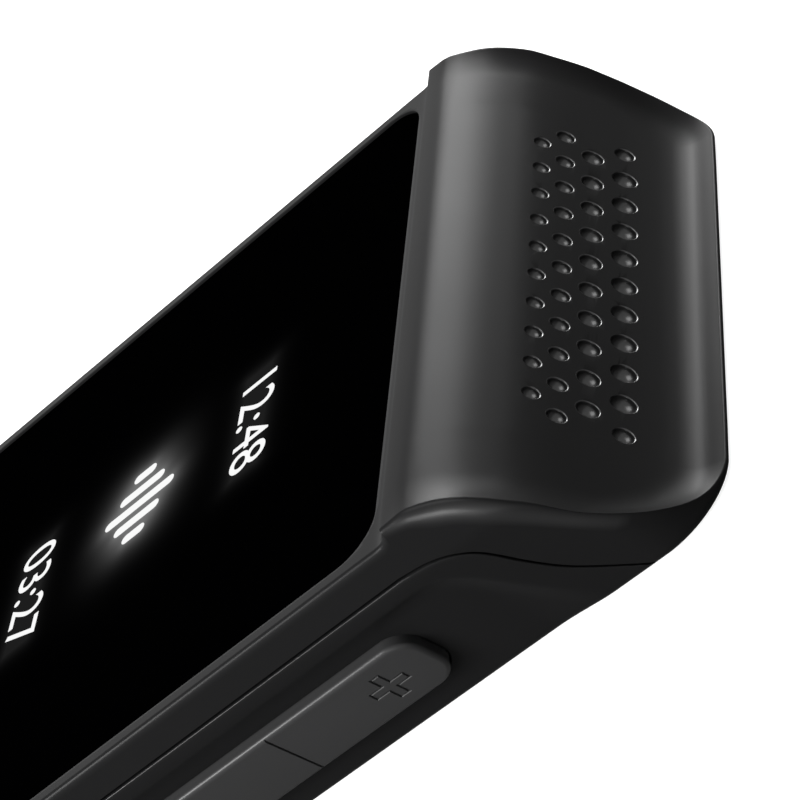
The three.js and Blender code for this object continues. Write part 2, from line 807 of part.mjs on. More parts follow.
function rearHousing(body) {
  const seam = moved(sideLine(seamShares), -seamGap);
  const shell = body.intersect(solidOf(regionBehind(seam))).subtract(hollow());
  const posts = casePlaces.map(([x, y]) => (
    solidOf(cylinder(x, y, caseBossDiameter, wall / 2, caseSplitLevel - fit))
  ));
  const blocks = [
    ...keyBoardBlocks(rightFrame, [[rightBoardLow, -1], [rightBoardHigh, 1]]),
    ...keyBoardBlocks(leftFrame, [[-leftBoardHalf, -1], [leftBoardHalf, 1]]),
  ];
  const screwCuts = casePlaces.flatMap(([x, y]) => [
    cylinder(x, y, caseHeadDiameter + 2 * fit, -overrun, caseHeadLevel),
    cylinder(x, y, caseShankDiameter + 2 * closeGap, 0, frontLevel),
  ]);
  const lensCuts = [
    cylinder(cameraX, cameraY, windowDiameter + 2 * closeGap, -overrun, windowSeat),
    cylinder(cameraX, cameraY, lensDiameter + 2 * fit, 0, frontLevel),
    cylinder(flashX, cameraY, flashDiameter + 2 * closeGap, -overrun, frontLevel),
  ];
  const endCuts = [
    prism(usbOutline(-fit), 'y', bottomEnd - overrun, innerEnd + overrun),
    ...[-microphonePlace, microphonePlace].map((x) => (
      prism(circleOutline(x, soundLevel, soundBore, holeSteps), 'y', bottomEnd - overrun, innerEnd + overrun)
    )),
  ];
  const keyCuts = [
    keyCutter(rightFrame, rockerLength), keyCutter(powerFrame, powerLength), keyCutter(leftFrame, talkLength),
    trayOpening(keyGap),
  ];
  const solid = joined([shell, ...posts, ...blocks]);
  return cutBy(solid, [...[...screwCuts, ...lensCuts, ...endCuts].map(solidOf), ...keyCuts]);
}

// Frame behind the display, with bosses for the main board
function midframe() {
  const pocketX = span(0, moduleWidth + 2 * fit);
  const pocketY = span(glassMiddle, moduleLength + 2 * fit);
  const outline = roundedOutline(
    span(0, moduleWidth + 2 * (fit + midframeRim)), span(glassMiddle, moduleLength + 2 * (fit + midframeRim)),
    glassCorner,
  );
  const plate = solidOf(prism(outline, 'z', frameBottom, frameTop));
  const pocket = solidOf(box(pocketX, pocketY, [framePocket, frameTop + overrun]));
  const bosses = boardScrewPlaces.map(([x, y]) => (
    solidOf(cylinder(x, y, smallBossDiameter, boardLevel, framePocket))
  ));
  const bores = boardScrewPlaces.map(([x, y]) => (
    solidOf(cylinder(x, y, smallShankDiameter + 2 * closeGap, 0, boardBottom + smallShankLength + fit))
  ));
  const slot = box(
    span(0, connectorWidth + 2 * fit), span(connectorY, connectorLength), [0, frameTop + overrun],
  );
  return cutBy(joined([plate.subtract(pocket), ...bosses]), [...bores, solidOf(slot)]);
}

function board(x, y, z, screwPlaces) {
  const plate = prism(roundedOutline(x, y, boardCorner), 'z', z[0], z[1]);
  const bores = screwPlaces.map(([a, b]) => (
    solidOf(cylinder(a, b, smallShankDiameter + 2 * fit, z[0] - overrun, z[1] + overrun))
  ));
  return cutBy(solidOf(plate), bores);
}

// A thin can over chips, open towards its board
function shieldCan(length, middle) {
  const place = shieldTop - length / 2;
  const outline = (inset) => roundedOutline(
    span(middle, shieldWidth - 2 * inset), span(place, length - 2 * inset), boardCorner - inset,
  );
  const roof = boardLevel + shieldHeight;
  return solidOf(prism(outline(0), 'z', boardLevel, roof)).subtract(
    solidOf(prism(outline(shieldWall), 'z', boardLevel - overrun, roof - shieldWall)),
  );
}

// Thin ribbon along a line in Y and Z, across X
function ribbon(line, x) {
  const one = moved(line, ribbonThick / 2);
  const other = moved(line, -ribbonThick / 2).reverse();
  return prism([...other, ...one], 'x', x[0], x[1]);
}

const shieldTop = boardTop - shieldInset;
const shieldWidth = (boardWidth - shieldGap) / 2 - shieldSide;
const shieldX = (shieldWidth + shieldGap) / 2;
const chipTop = shieldTop - shieldWall - chipGap;
const connectorY = shieldTop - processorLength - connectorLength;
const linkLevel = batteryBottom - fit - ribbonThick / 2;
const linkStart = boardLow + wall;
const linkEnd = batteryLow - wall;
const boardLink = [
  [linkStart, boardBottom], [linkStart, linkLevel], [linkEnd, linkLevel], [linkEnd, lowerBoardLevel],
];

// A screw with a socket in its head, standing on its head
function screw(headDiameter, headHeight, shankDiameter, shankLength) {
  const [head, shank] = [headDiameter / 2, shankDiameter / 2];
  const profile = [
    ...screwHeadShares.map(([r, h]) => new THREE.Vector2(head * r, headHeight * h)),
    ...screwShankShares.map(([r, h]) => new THREE.Vector2(shank * r, headHeight + shankLength * h)),
  ];
  return new THREE.LatheGeometry(profile, screwSteps).rotateX(Math.PI / 2);
}

// Loudspeaker pieces, in the frame of the slanted hood face: x across, y downhill, z outwards
const soundHalf = (rowShareLength() + rowDiameters[rowDiameters.length - 1]) / 2 + fit;
const gauzeTop = -faceWall - fit;
const gasketTop = gauzeTop - gauzeThick;
const driverTop = gasketTop - gasketThick;
const driverBottom = driverTop - driverThick;

function rowShareLength() {
  const [first, last] = [rowShares[0], rowShares[rowShares.length - 1]];
  return Math.hypot((last[0] - first[0]) * hoodReach, (last[1] - first[1]) * frontLevel);
}

function gasketRing() {
  const half = soundHalf + gasketRim;
  const outer = roundedOutline(span(0, speakerWidth + 2 * gasketRim), [-half, half], gasketRim);
  const inner = roundedOutline(span(0, speakerWidth), [-soundHalf, soundHalf], gasketRim / 2);
  return solidOf(prism(outer, 'z', driverTop, gasketTop)).subtract(
    solidOf(prism(inner, 'z', driverTop - overrun, gasketTop + overrun)),
  );
}

function driver() {
  const half = soundHalf + gasketRim;
  const outer = roundedOutline(span(0, driverWidth), [-half, half - driverMargin], gasketRim);
  return prism(outer, 'z', driverBottom, driverTop);
}

function cone() {
  const half = soundHalf - gasketRim;
  const width = driverWidth - 2 * gasketRim;
  return loft(coneShares.map(([riseShare, insetShare]) => {
    const inset = coneInset * insetShare;
    const outline = roundedOutline(span(0, width - 2 * inset), [-half + inset, half - inset], half - inset);
    return outline.map(([x, y]) => [x, y, driverTop + coneDome * riseShare]);
  }));
}

function speakerBox() {
  const depth = driverBottom - fit;
  const [back, top, bottom] = [boardTop + endClear, frameBottom - fit, wall + fit];
  const half = driverWidth / 2;
  const outline = (inset) => [
    [back + inset, bottom + inset], faceAtLevel(depth, bottom + inset), faceAtLevel(depth, top - inset),
    [back + inset, top - inset],
  ];
  const cut = outline(boxWall);
  cut[1] = [cut[1][0] + overrun, cut[1][1]];
  cut[2] = [cut[2][0] + overrun, cut[2][1]];
  return solidOf(prism(outline(0), 'x', -half, half)).subtract(
    solidOf(prism(cut, 'x', -half + boxWall, half - boxWall)),
  );
}

// Finishes: colour, roughness and metalness
const finishes = {
  shell: [0x1b1b1c, 0.42, 0],
  key: [0x202021, 0.45, 0],
  glass: [0x050506, 0.08, 0],
  lens: [0xe8e6da, 0.2, 0],
  panel: [0x2a2d33, 0.5, 0],
  glue: [0x111111, 0.8, 0],
  alloy: [0x8f9296, 0.4, 0.9],
  steel: [0xb4b6b8, 0.3, 1],
  board: [0x153a2a, 0.55, 0],
  film: [0xa5641f, 0.5, 0],
  cell: [0x3b3f45, 0.45, 0.3],
  plastic: [0x26262a, 0.6, 0],
  chip: [0x1c1d20, 0.5, 0],
  rubber: [0x17171a, 0.9, 0],
  copper: [0xb87342, 0.35, 1],
};
const materials = Object.fromEntries(Object.entries(finishes).map(([name, [color, roughness, metalness]]) => (
  [name, new THREE.MeshStandardMaterial({ color, roughness, metalness, flatShading: true })]
)));

function addPiece(parent, name, finish, shape) {
  const geometry = shape.isBufferGeometry ? shape : geometryOf(shape);
  const mesh = new THREE.Mesh(geometry, materials[finish]);
  mesh.name = name;
  parent.add(mesh);
  return mesh;
}

const translator = new THREE.Group();
const body = wholeBody();

function addHousings() {
  addPiece(translator, 'front_housing', 'shell', frontHousing(body));
  addPiece(translator, 'rear_housing', 'shell', rearHousing(body));
  casePlaces.forEach(([x, y], index) => {
    const shape = screw(caseHeadDiameter, caseHeadHeight, caseShankDiameter, caseShankLength);
    addPiece(translator, `case_screw_${index + 1}`, 'steel', shape).position.set(x, y, headSetback);
  });
}

function addDisplay() {
  const outline = (inset) => roundedOutline(
    span(0, glassWidth - 2 * inset), span(glassMiddle, glassLength - 2 * inset), glassCorner - inset,
  );
  addPiece(translator, 'display_glass', 'glass', prism(outline(0), 'z', glassBottom, glassTop));
  const ring = solidOf(prism(outline(closeGap), 'z', ledgeTop, glassBottom));
  const middle = solidOf(prism(outline(closeGap + adhesiveWidth), 'z', 0, frontLevel));
  addPiece(translator, 'display_adhesive', 'glue', ring.subtract(middle));
  const panel = roundedOutline(span(0, moduleWidth), span(glassMiddle, moduleLength), moduleCorner);
  addPiece(translator, 'display_module', 'panel', prism(panel, 'z', moduleBottom, glassBottom));
  addPiece(translator, 'midframe', 'alloy', midframe());
  const flexLine = [[connectorY, boardLevel + connectorHeight], [connectorY, moduleBottom]];
  addPiece(translator, 'display_flex', 'film', ribbon(flexLine, span(0, connectorWidth - 2 * fit)));
}

function addMainBoard() {
  const [x, y] = [span(0, boardWidth), span(boardMiddle, boardLength)];
  addPiece(translator, 'main_board', 'board', board(x, y, [boardBottom, boardLevel], boardScrewPlaces));
  addPiece(translator, 'processor_shield', 'steel', shieldCan(processorLength, -shieldX));
  addPiece(translator, 'radio_shield', 'steel', shieldCan(radioLength, shieldX));
  const processorY = chipTop - processorSize / 2;
  const memoryY = chipTop - processorSize - chipGap - memoryLength / 2;
  const chips = [
    ['processor_chip', span(-shieldX, processorSize), span(processorY, processorSize)],
    ['memory_chip', span(-shieldX, processorSize), span(memoryY, memoryLength)],
    ['radio_chip', span(shieldX, radioSize), span(shieldTop - radioLength / 2, radioSize)],
  ];
  for (const [name, a, b] of chips) {
    addPiece(translator, name, 'chip', box(a, b, [boardLevel, boardLevel + chipThick]));
  }
  const connector = box(
    span(0, connectorWidth), span(connectorY, connectorLength), [boardLevel, boardLevel + connectorHeight],
  );
  addPiece(translator, 'display_connector', 'plastic', connector);
  boardScrewPlaces.forEach(([a, b], index) => {
    const shape = screw(smallHeadDiameter, smallHeadHeight, smallShankDiameter, smallShankLength);
    const piece = addPiece(translator, `board_screw_${index + 1}`, 'steel', shape);
    piece.position.set(a, b, boardBottom - smallHeadHeight);
  });
  addPiece(translator, 'card_reader', 'steel', cardReader());
  const motor = cylinder(-cameraX, cameraY, motorDiameter, boardBottom - motorThick, boardBottom);
  addPiece(translator, 'vibration_motor', 'steel', motor);
}

function addPower() {
  const outline = roundedOutline(span(0, batteryWidth), [batteryLow, batteryTop], batteryCorner);
  addPiece(translator, 'battery_cell', 'cell', prism(outline, 'z', batteryBottom, frameBottom));
  addPiece(translator, 'board_link_flex', 'film', ribbon(boardLink, span(linkPlace, linkWidth)));
}

function addLowerBoard() {
  const [x, y] = [span(0, lowerBoardWidth), [lowerBoardLow, lowerBoardHigh]];
  const levels = [lowerBoardLevel, lowerBoardTop];
  addPiece(translator, 'lower_board', 'board', board(x, y, levels, lowerScrewPlaces));
  lowerScrewPlaces.forEach(([a, b], index) => {
    const shape = screw(smallHeadDiameter, smallHeadHeight, smallShankDiameter, smallShankLength);
    const piece = addPiece(translator, `lower_board_screw_${index + 1}`, 'steel', shape);
    piece.position.set(a, b, lowerBoardLevel - smallHeadHeight);
  });
  addPiece(translator, 'usb_socket_shell', 'steel', usbShell());
  const tongueBack = usbMouth + usbDepth - usbWall;
  const tongue = box(
    span(0, usbTongueWidth), [tongueBack - usbTongueDepth, tongueBack], span(usbLevel, usbTongueThick),
  );
  addPiece(translator, 'usb_socket_tongue', 'plastic', tongue);
  for (const [name, side] of [['left', -1], ['right', 1]]) {
    const middle = side * microphonePlace;
    const top = lowerBoardTop + microphoneHeight;
    const capsule = box(
      span(middle, microphoneWidth), [microphoneLow, microphoneLow + microphoneLength], [lowerBoardTop, top],
    );
    addPiece(translator, `microphone_${name}`, 'steel', capsule);
    const seal = solidOf(box(span(middle, microphoneWidth), [innerEnd, microphoneLow], [lowerBoardTop, top]));
    const bore = prism(circleOutline(middle, soundLevel, soundBore / 2, holeSteps), 'y', bottomEnd, 0);
    addPiece(translator, `microphone_seal_${name}`, 'rubber', seal.subtract(solidOf(bore)));
  }
}

function addLoudspeaker() {
  const group = new THREE.Group();
  const face = hoodFace();
  group.position.set(0, face.middle.x, face.middle.y);
  group.rotation.x = Math.atan2(face.along.y, face.along.x);
  translator.add(group);
  const gauze = box(span(0, speakerWidth), [-soundHalf, soundHalf], [gasketTop, gauzeTop]);
  addPiece(group, 'speaker_gauze', 'steel', gauze);
  addPiece(group, 'speaker_gasket', 'rubber', gasketRing());
  addPiece(group, 'speaker_driver', 'plastic', driver());
  addPiece(group, 'speaker_cone', 'rubber', cone());
  addPiece(translator, 'speaker_box', 'plastic', speakerBox());
}

function addKeys() {
  const groups = [rightFrame, powerFrame, leftFrame];
  groups.forEach((group) => translator.add(group));
  addPiece(rightFrame, 'volume_rocker', 'key', rockerBody());
  addPiece(powerFrame, 'power_key', 'key', keyBody(powerLength, [0], false));
  addPiece(leftFrame, 'talk_key', 'key', keyBody(talkLength, [0], false));
  const nub = rockerLength * switchPlaceShare;
  addPiece(rightFrame, 'volume_up_switch', 'steel', switchBody()).position.y = nub;
  addPiece(rightFrame, 'volume_down_switch', 'steel', switchBody()).position.y = -nub;
  addPiece(powerFrame, 'power_switch', 'steel', switchBody());
  addPiece(leftFrame, 'talk_switch', 'steel', switchBody());
  const rightBoard = prism(keyBoardOutline(rightBoardLow, rightBoardHigh), 'x', keyBoardBack, keyBoardFace);
  addPiece(rightFrame, 'right_key_board', 'board', rightBoard);
  const leftBoard = prism(keyBoardOutline(-leftBoardHalf, leftBoardHalf), 'x', keyBoardBack, keyBoardFace);
  addPiece(leftFrame, 'left_key_board', 'board', leftBoard);
  addPiece(translator, 'card_tray', 'key', cardTray(body));
}

function addCamera() {
  const lensLow = windowSeat + fit;
  const moduleLow = lensLow + lensHeight;
  const lens = cylinder(cameraX, cameraY, lensDiameter, lensLow, moduleLow + fit);
  const module = box(span(cameraX, cameraSize), span(cameraY, cameraSize), [moduleLow, boardBottom]);
  addPiece(translator, 'camera_module', 'plastic', solidOf(lens).add(solidOf(module)));
  const pane = cylinder(cameraX, cameraY, windowDiameter, windowSetback, windowSeat);
  addPiece(translator, 'camera_window', 'glass', pane);
  const light = cylinder(flashX, cameraY, flashDiameter, windowSetback, wall + fit);
  const flange = cylinder(flashX, cameraY, flashDiameter + 2 * flashFlange, wall, wall + flashFlange);
  addPiece(translator, 'flash_lens', 'lens', solidOf(light).add(solidOf(flange)));
}

function addAntennas() {
  const places = [['upper_antenna', boardMiddle], ['lower_antenna', lowerBoardHigh - antennaLength]];
  for (const [name, y] of places) {
    const strip = box(span(0, antennaWidth), span(y, antennaLength), [wall, wall + antennaThick]);
    addPiece(translator, name, 'copper', strip);
  }
}

addHousings();
addDisplay();
addMainBoard();
addPower();
addLowerBoard();
addLoudspeaker();
addKeys();
addCamera();
addAntennas();

export default translator;
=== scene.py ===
"""Handheld translator lying on its back: a black display slab with a slanted loudspeaker hood.

Lengths are millimetres while a piece is modelled. Each finished piece is brought to metres.
X is the side with the volume rocker, Y runs towards the hood, Z is up through the display.
"""

import json
import logging
import math
from dataclasses import dataclass, field
from enum import Enum
from typing import Callable, Sequence

import bmesh
import bpy
import numpy as np
from mathutils import Matrix, Vector

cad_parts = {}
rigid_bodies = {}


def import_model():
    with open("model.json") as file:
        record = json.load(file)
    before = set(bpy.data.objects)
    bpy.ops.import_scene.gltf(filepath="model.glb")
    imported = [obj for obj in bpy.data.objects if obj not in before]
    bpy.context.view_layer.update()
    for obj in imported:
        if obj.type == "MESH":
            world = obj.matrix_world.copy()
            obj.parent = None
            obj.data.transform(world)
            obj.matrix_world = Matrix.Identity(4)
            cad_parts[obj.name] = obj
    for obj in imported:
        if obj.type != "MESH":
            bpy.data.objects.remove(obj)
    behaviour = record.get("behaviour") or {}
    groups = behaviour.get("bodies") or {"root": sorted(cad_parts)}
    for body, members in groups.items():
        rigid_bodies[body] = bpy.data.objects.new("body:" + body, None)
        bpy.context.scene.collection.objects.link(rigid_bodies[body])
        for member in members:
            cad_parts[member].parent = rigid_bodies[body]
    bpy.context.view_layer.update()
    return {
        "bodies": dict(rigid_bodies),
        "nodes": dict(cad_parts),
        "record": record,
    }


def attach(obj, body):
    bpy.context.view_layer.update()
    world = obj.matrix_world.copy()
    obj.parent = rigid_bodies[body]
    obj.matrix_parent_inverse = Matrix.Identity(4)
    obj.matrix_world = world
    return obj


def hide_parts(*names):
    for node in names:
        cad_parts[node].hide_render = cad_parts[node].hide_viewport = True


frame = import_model()
LOG = logging.getLogger("translator")
MM = 0.001
LEAN = math.radians(18)
WELD = 0.0004
TOUCH, OVERLAP = 0.001, 0.2
TINY, LEAST = 1e-6, 1e-9
UPWARD = 0.9
KEY_ACROSS, KEY_LEVEL = 28.034, 6.15

Ring = np.ndarray
Piece = bpy.types.Object


# Edit-mode work


def rest_all() -> None:
    """Leaves edit mode and deselects every object."""
    if bpy.context.object and bpy.context.object.mode != "OBJECT":
        bpy.ops.object.mode_set(mode="OBJECT")
    bpy.ops.object.select_all(action="DESELECT")


def take(piece: Piece) -> Piece:
    """Makes one object the selected and active one, and returns it."""
    rest_all()
    piece.select_set(True)
    bpy.context.view_layer.objects.active = piece
    return piece


def edit(piece: Piece, mode: str = "VERT") -> None:
    """Opens one object in edit mode with the given select mode and nothing selected."""
    take(piece)
    bpy.ops.object.mode_set(mode="EDIT")
    bpy.ops.mesh.select_mode(type=mode)
    bpy.ops.mesh.select_all(action="DESELECT")


def named(name: str) -> Piece:
    """Names the object that an operator has just added, and returns it."""
    piece = bpy.context.object
    piece.name = name
    piece.data.name = name
    return piece


def pick(piece: Piece, kind: str, test: Callable[..., bool]) -> None:
    """Selects the elements of the mesh in edit mode that pass a test.

    Args:
        piece: the object in edit mode.
        kind: verts, edges or faces.
        test: says whether an element is wanted.
    """
    mesh = bmesh.from_edit_mesh(piece.data)
    for element in getattr(mesh, kind):
        if test(element):
            element.select_set(True)
    bmesh.update_edit_mesh(piece.data)


def turn_out(weld: float = 0.0) -> None:
    """Welds near points of the mesh in edit mode, turns its faces outward and leaves the mode."""
    bpy.ops.mesh.select_all(action="SELECT")
    if weld:
        bpy.ops.mesh.remove_doubles(threshold=weld)
    bpy.ops.mesh.normals_make_consistent(inside=False)
    bpy.ops.object.mode_set(mode="OBJECT")


def tag(piece: Piece, name: str, kind: str, values: Ring) -> None:
    """Stores a value for each point of a mesh, as an attribute of kind INT or FLOAT."""
    piece.data.attributes.new(name, kind, "POINT").data.foreach_set("value", values)


def carve(piece: Piece, tool: Piece, operation: str = "DIFFERENCE") -> None:
    """Cuts, joins or intersects a piece with a tool solid and removes the tool.

    Args:
        piece: the object that stays.
        tool: the object that is used up.
        operation: DIFFERENCE, UNION or INTERSECT.
    """
    take(piece)
    cut = piece.modifiers.new("carve", "BOOLEAN")
    cut.operation = operation
    cut.solver = "EXACT"
    cut.object = tool
    bpy.ops.object.modifier_apply(modifier=cut.name)
    bpy.data.objects.remove(tool)


def join(pieces: Sequence[Piece], name: str) -> Piece:
    """Joins several objects into one.

    Args:
        pieces: the objects to join.
        name: the name of the result.

    Returns:
        The joined object.
    """
    take(pieces[0])
    for piece in pieces[1:]:
        piece.select_set(True)
    bpy.ops.object.join()
    return named(name)


def placed(piece: Piece, place: Matrix) -> Piece:
    """Moves a piece by a matrix that goes straight into its mesh, and returns it."""
    take(piece)
    piece.matrix_world = place
    bpy.ops.object.transform_apply(location=True, rotation=True, scale=True)
    return piece


def box(name: str, middle: Sequence[float], size: Sequence[float]) -> Piece:
    """Models a box of a size about its middle."""
    rest_all()
    bpy.ops.mesh.primitive_cube_add(size=1)
    return placed(named(name), Matrix.Translation(middle) @ Matrix.Diagonal((*size, 1)))


def ring_skin(
    name: str, rings: Sequence[Ring], first: bool = True, last: bool = True,
    polish: Sequence[float] = (),
) -> Piece:
    """Extrudes a circle of edges ring by ring into a closed skin.

    Args:
        name: the name of the piece.
        rings: outlines of equal length, each an array of points.
        first: closes the first ring with a face.
        last: closes the last ring with a face.
        polish: how polished each ring is; without it none is.

    Returns:
        The new object.
    """
    rest_all()
    count = len(rings[0])
    bpy.ops.mesh.primitive_circle_add(vertices=count, radius=1, fill_type="NOTHING")
    piece = named(name)
    piece.data.vertices.foreach_set("co", np.asarray(rings[0], float).ravel())
    tag(piece, "column", "INT", np.arange(count, dtype=np.int32))
    tag(piece, "polish", "FLOAT", np.full(count, polish[0] if polish else 0.0))
    edit(piece, "EDGE")
    bpy.ops.mesh.select_all(action="SELECT")
    if first:
        bpy.ops.mesh.edge_face_add()
    extrude_rings(piece, rings[1:], polish[1:])
    if last:
        bpy.ops.mesh.edge_face_add()
    turn_out(WELD)
    return piece


def extrude_rings(
    piece: Piece, rings: Sequence[Ring], polish: Sequence[float] = ()
) -> None:
    """Extrudes the selected loop of edges once for each ring and places its points.

    Args:
        piece: the object in edit mode, with a loop of edges selected.
        rings: the places of the new points, in the order of the column numbers.
        polish: how polished each ring is; without it none is.
    """
    for index, ring in enumerate(rings):
        bpy.ops.mesh.extrude_region_move()
        mesh = bmesh.from_edit_mesh(piece.data)
        column = mesh.verts.layers.int["column"]
        shine = mesh.verts.layers.float["polish"]
        shown = np.broadcast_to(polish[index] if polish else 0.0, len(ring))
        for vert in mesh.verts:
            if vert.select:
                vert.co = ring[vert[column]]
                vert[shine] = shown[vert[column]]
        bmesh.update_edit_mesh(piece.data)


def rounded(width: float, height: float, radius: float, steps: int = 10) -> Ring:
    """Gives a rectangle with round corners about the origin, as an array of flat points."""
    points = []
    for turn, (x, y) in enumerate([(1, 1), (-1, 1), (-1, -1), (1, -1)]):
        a, b = x * (width / 2 - radius), y * (height / 2 - radius)
        for step in range(steps + 1):
            angle = (turn + step / steps) * math.pi / 2
            points.append((a + radius * math.cos(angle), b + radius * math.sin(angle)))
    return np.array(points)


def grown(size: Sequence[float], grow: float, steps: int = 10) -> Ring:
    """Gives the outline of a width, a height and a corner radius, grown by a length."""
    width, height, radius = size
    return rounded(width + 2 * grow, height + 2 * grow, radius + grow, steps)


def quarter(steps: int, first: int = 0) -> list[tuple[float, float]]:
    """Gives the sine and the cosine at even steps over a quarter turn."""
    angles = [math.pi / 2 * step / steps for step in range(first, steps + 1)]
    return [(math.sin(angle), math.cos(angle)) for angle in angles]


def circle(diameter: float, steps: int = 32) -> Ring:
    """Gives a circle about the origin, as an array of flat points."""
    angles = np.arange(steps) / steps * 2 * math.pi
    return np.stack([np.cos(angles), np.sin(angles)], 1) * diameter / 2


def lifted(outline: Ring, level: float, axis: str = "z") -> Ring:
    """Turns flat points into points in space, at a level along an axis."""
    level_column = np.full((len(outline), 1), level)
    if axis == "z":
        return np.hstack([outline, level_column])
    if axis == "x":
        return np.hstack([level_column, outline])
    return np.hstack([outline[:, :1], level_column, outline[:, 1:]])


def smooth(piece: Piece, degrees: float = 30) -> None:
    """Shades a piece smooth, except over edges sharper than an angle."""
    take(piece)
    bpy.ops.object.shade_smooth_by_angle(angle=math.radians(degrees))


def even_normals(piece: Piece) -> Piece:
    """Lets large faces lead the shading round cuts, and returns the piece."""
    take(piece)
    even = piece.modifiers.new("even", "WEIGHTED_NORMAL")
    even.mode, even.weight, even.keep_sharp = "FACE_AREA", 100, True
    bpy.ops.object.modifier_apply(modifier=even.name)
    return piece


def finished(
    piece: Piece, body: str, nodes: Sequence[str] = (), degrees: float = 30
) -> Piece:
    """Brings a piece to metres, shades it, and tells the frame what it is.

    Args:
        piece: the piece, in millimetres.
        body: the body that it rides on.
        nodes: the solids that it stands for.
        degrees: edges sharper than this stay crisp.

    Returns:
        The piece.
    """
    placed(piece, Matrix.Scale(MM, 4) @ piece.matrix_world)
    if "column" in piece.data.attributes:
        piece.data.attributes.remove(piece.data.attributes["column"])
    smooth(piece, degrees)
    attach(piece, body)
    if nodes:
        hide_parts(*nodes)
    LOG.info("%s: %d faces on %s", piece.name, len(piece.data.polygons), body)
    return piece


# Curves of the body


def spline(
    shares: Sequence[tuple[float, float]], crease: float, reach: float, level: float
) -> Ring:
    """Draws a smooth line through shares of the hood's reach and the front level.

    Args:
        shares: pairs of shares, along Y past the crease and along Z past the front level.
        crease: where the hood starts along Y.
        reach: the hood's length along Y.
        level: the height of the front.

    Returns:
        Points along the line, as Y and Z.
    """
    per_span = 16
    knots = np.array([(crease + y * reach, level + z * level) for y, z in shares])
    padded = np.vstack([knots[:1], knots, knots[-1:]])
    t = np.linspace(0, 1, per_span, endpoint=False)[:, None]
    points = []
    for a, b, c, d in zip(padded, padded[1:], padded[2:], padded[3:]):
        v0, v1 = (c - a) / 2, (d - b) / 2
        points.append(
            (2 * b - 2 * c + v0 + v1) * t**3 + (-3 * b + 3 * c - 2 * v0 - v1) * t**2 + v0 * t + b
        )
    return np.vstack([*points, knots[-1:]])


def signed_distance(line: Ring, y: Ring, z: Ring) -> Ring:
    """Measures how far points lie in front of a line in the side view.

    Args:
        line: the line's points, as Y and Z, from the slab to the back of the hood.
        y: the points' Y.
        z: the points' Z.

    Returns:
        The distance to the line, positive in front of it.
    """
    points = np.stack([y, z], -1)[:, None, :]
    start, step = line[:-1][None], np.diff(line, axis=0)[None]
    along = np.clip(((points - start) * step).sum(-1) / (step**2).sum(-1), 0, 1)
    gap = points - (start + along[..., None] * step)
    far = np.sqrt((gap**2).sum(-1))
    near = far.argmin(1)
    rows = np.arange(len(near))
    side = step[0, near, 0] * gap[rows, near, 1] - step[0, near, 1] * gap[rows, near, 0]
    return far[rows, near] * np.sign(side)


def eased(value: Ring) -> Ring:
    """Gives a smooth step from 0 to 1."""
    share = np.clip(value, 0, 1)
    return share * share * (3 - 2 * share)


def hollowed(value: Ring) -> Ring:
    """Eases a value from 0 to 1, steep soon after the start and ever flatter to the end."""
    turn, share = 0.2, np.clip(value, 0, 1)
    return np.where(share < turn, share**2 / turn, 1 - (1 - share) ** 2 / (1 - turn))


class Stretch(Enum):
    """The five stretches of the body's outline, on its right half."""

    CHIN = 0
    CHIN_CORNER = 1
    SIDE = 2
    HOOD_CORNER = 3
    LIP = 4


@dataclass(frozen=True)
class Column:
    """One upright line of the skin: its stretch, its place there, and its line in the grid."""

    stretch: Stretch
    place: float
    grid: tuple[float, float]


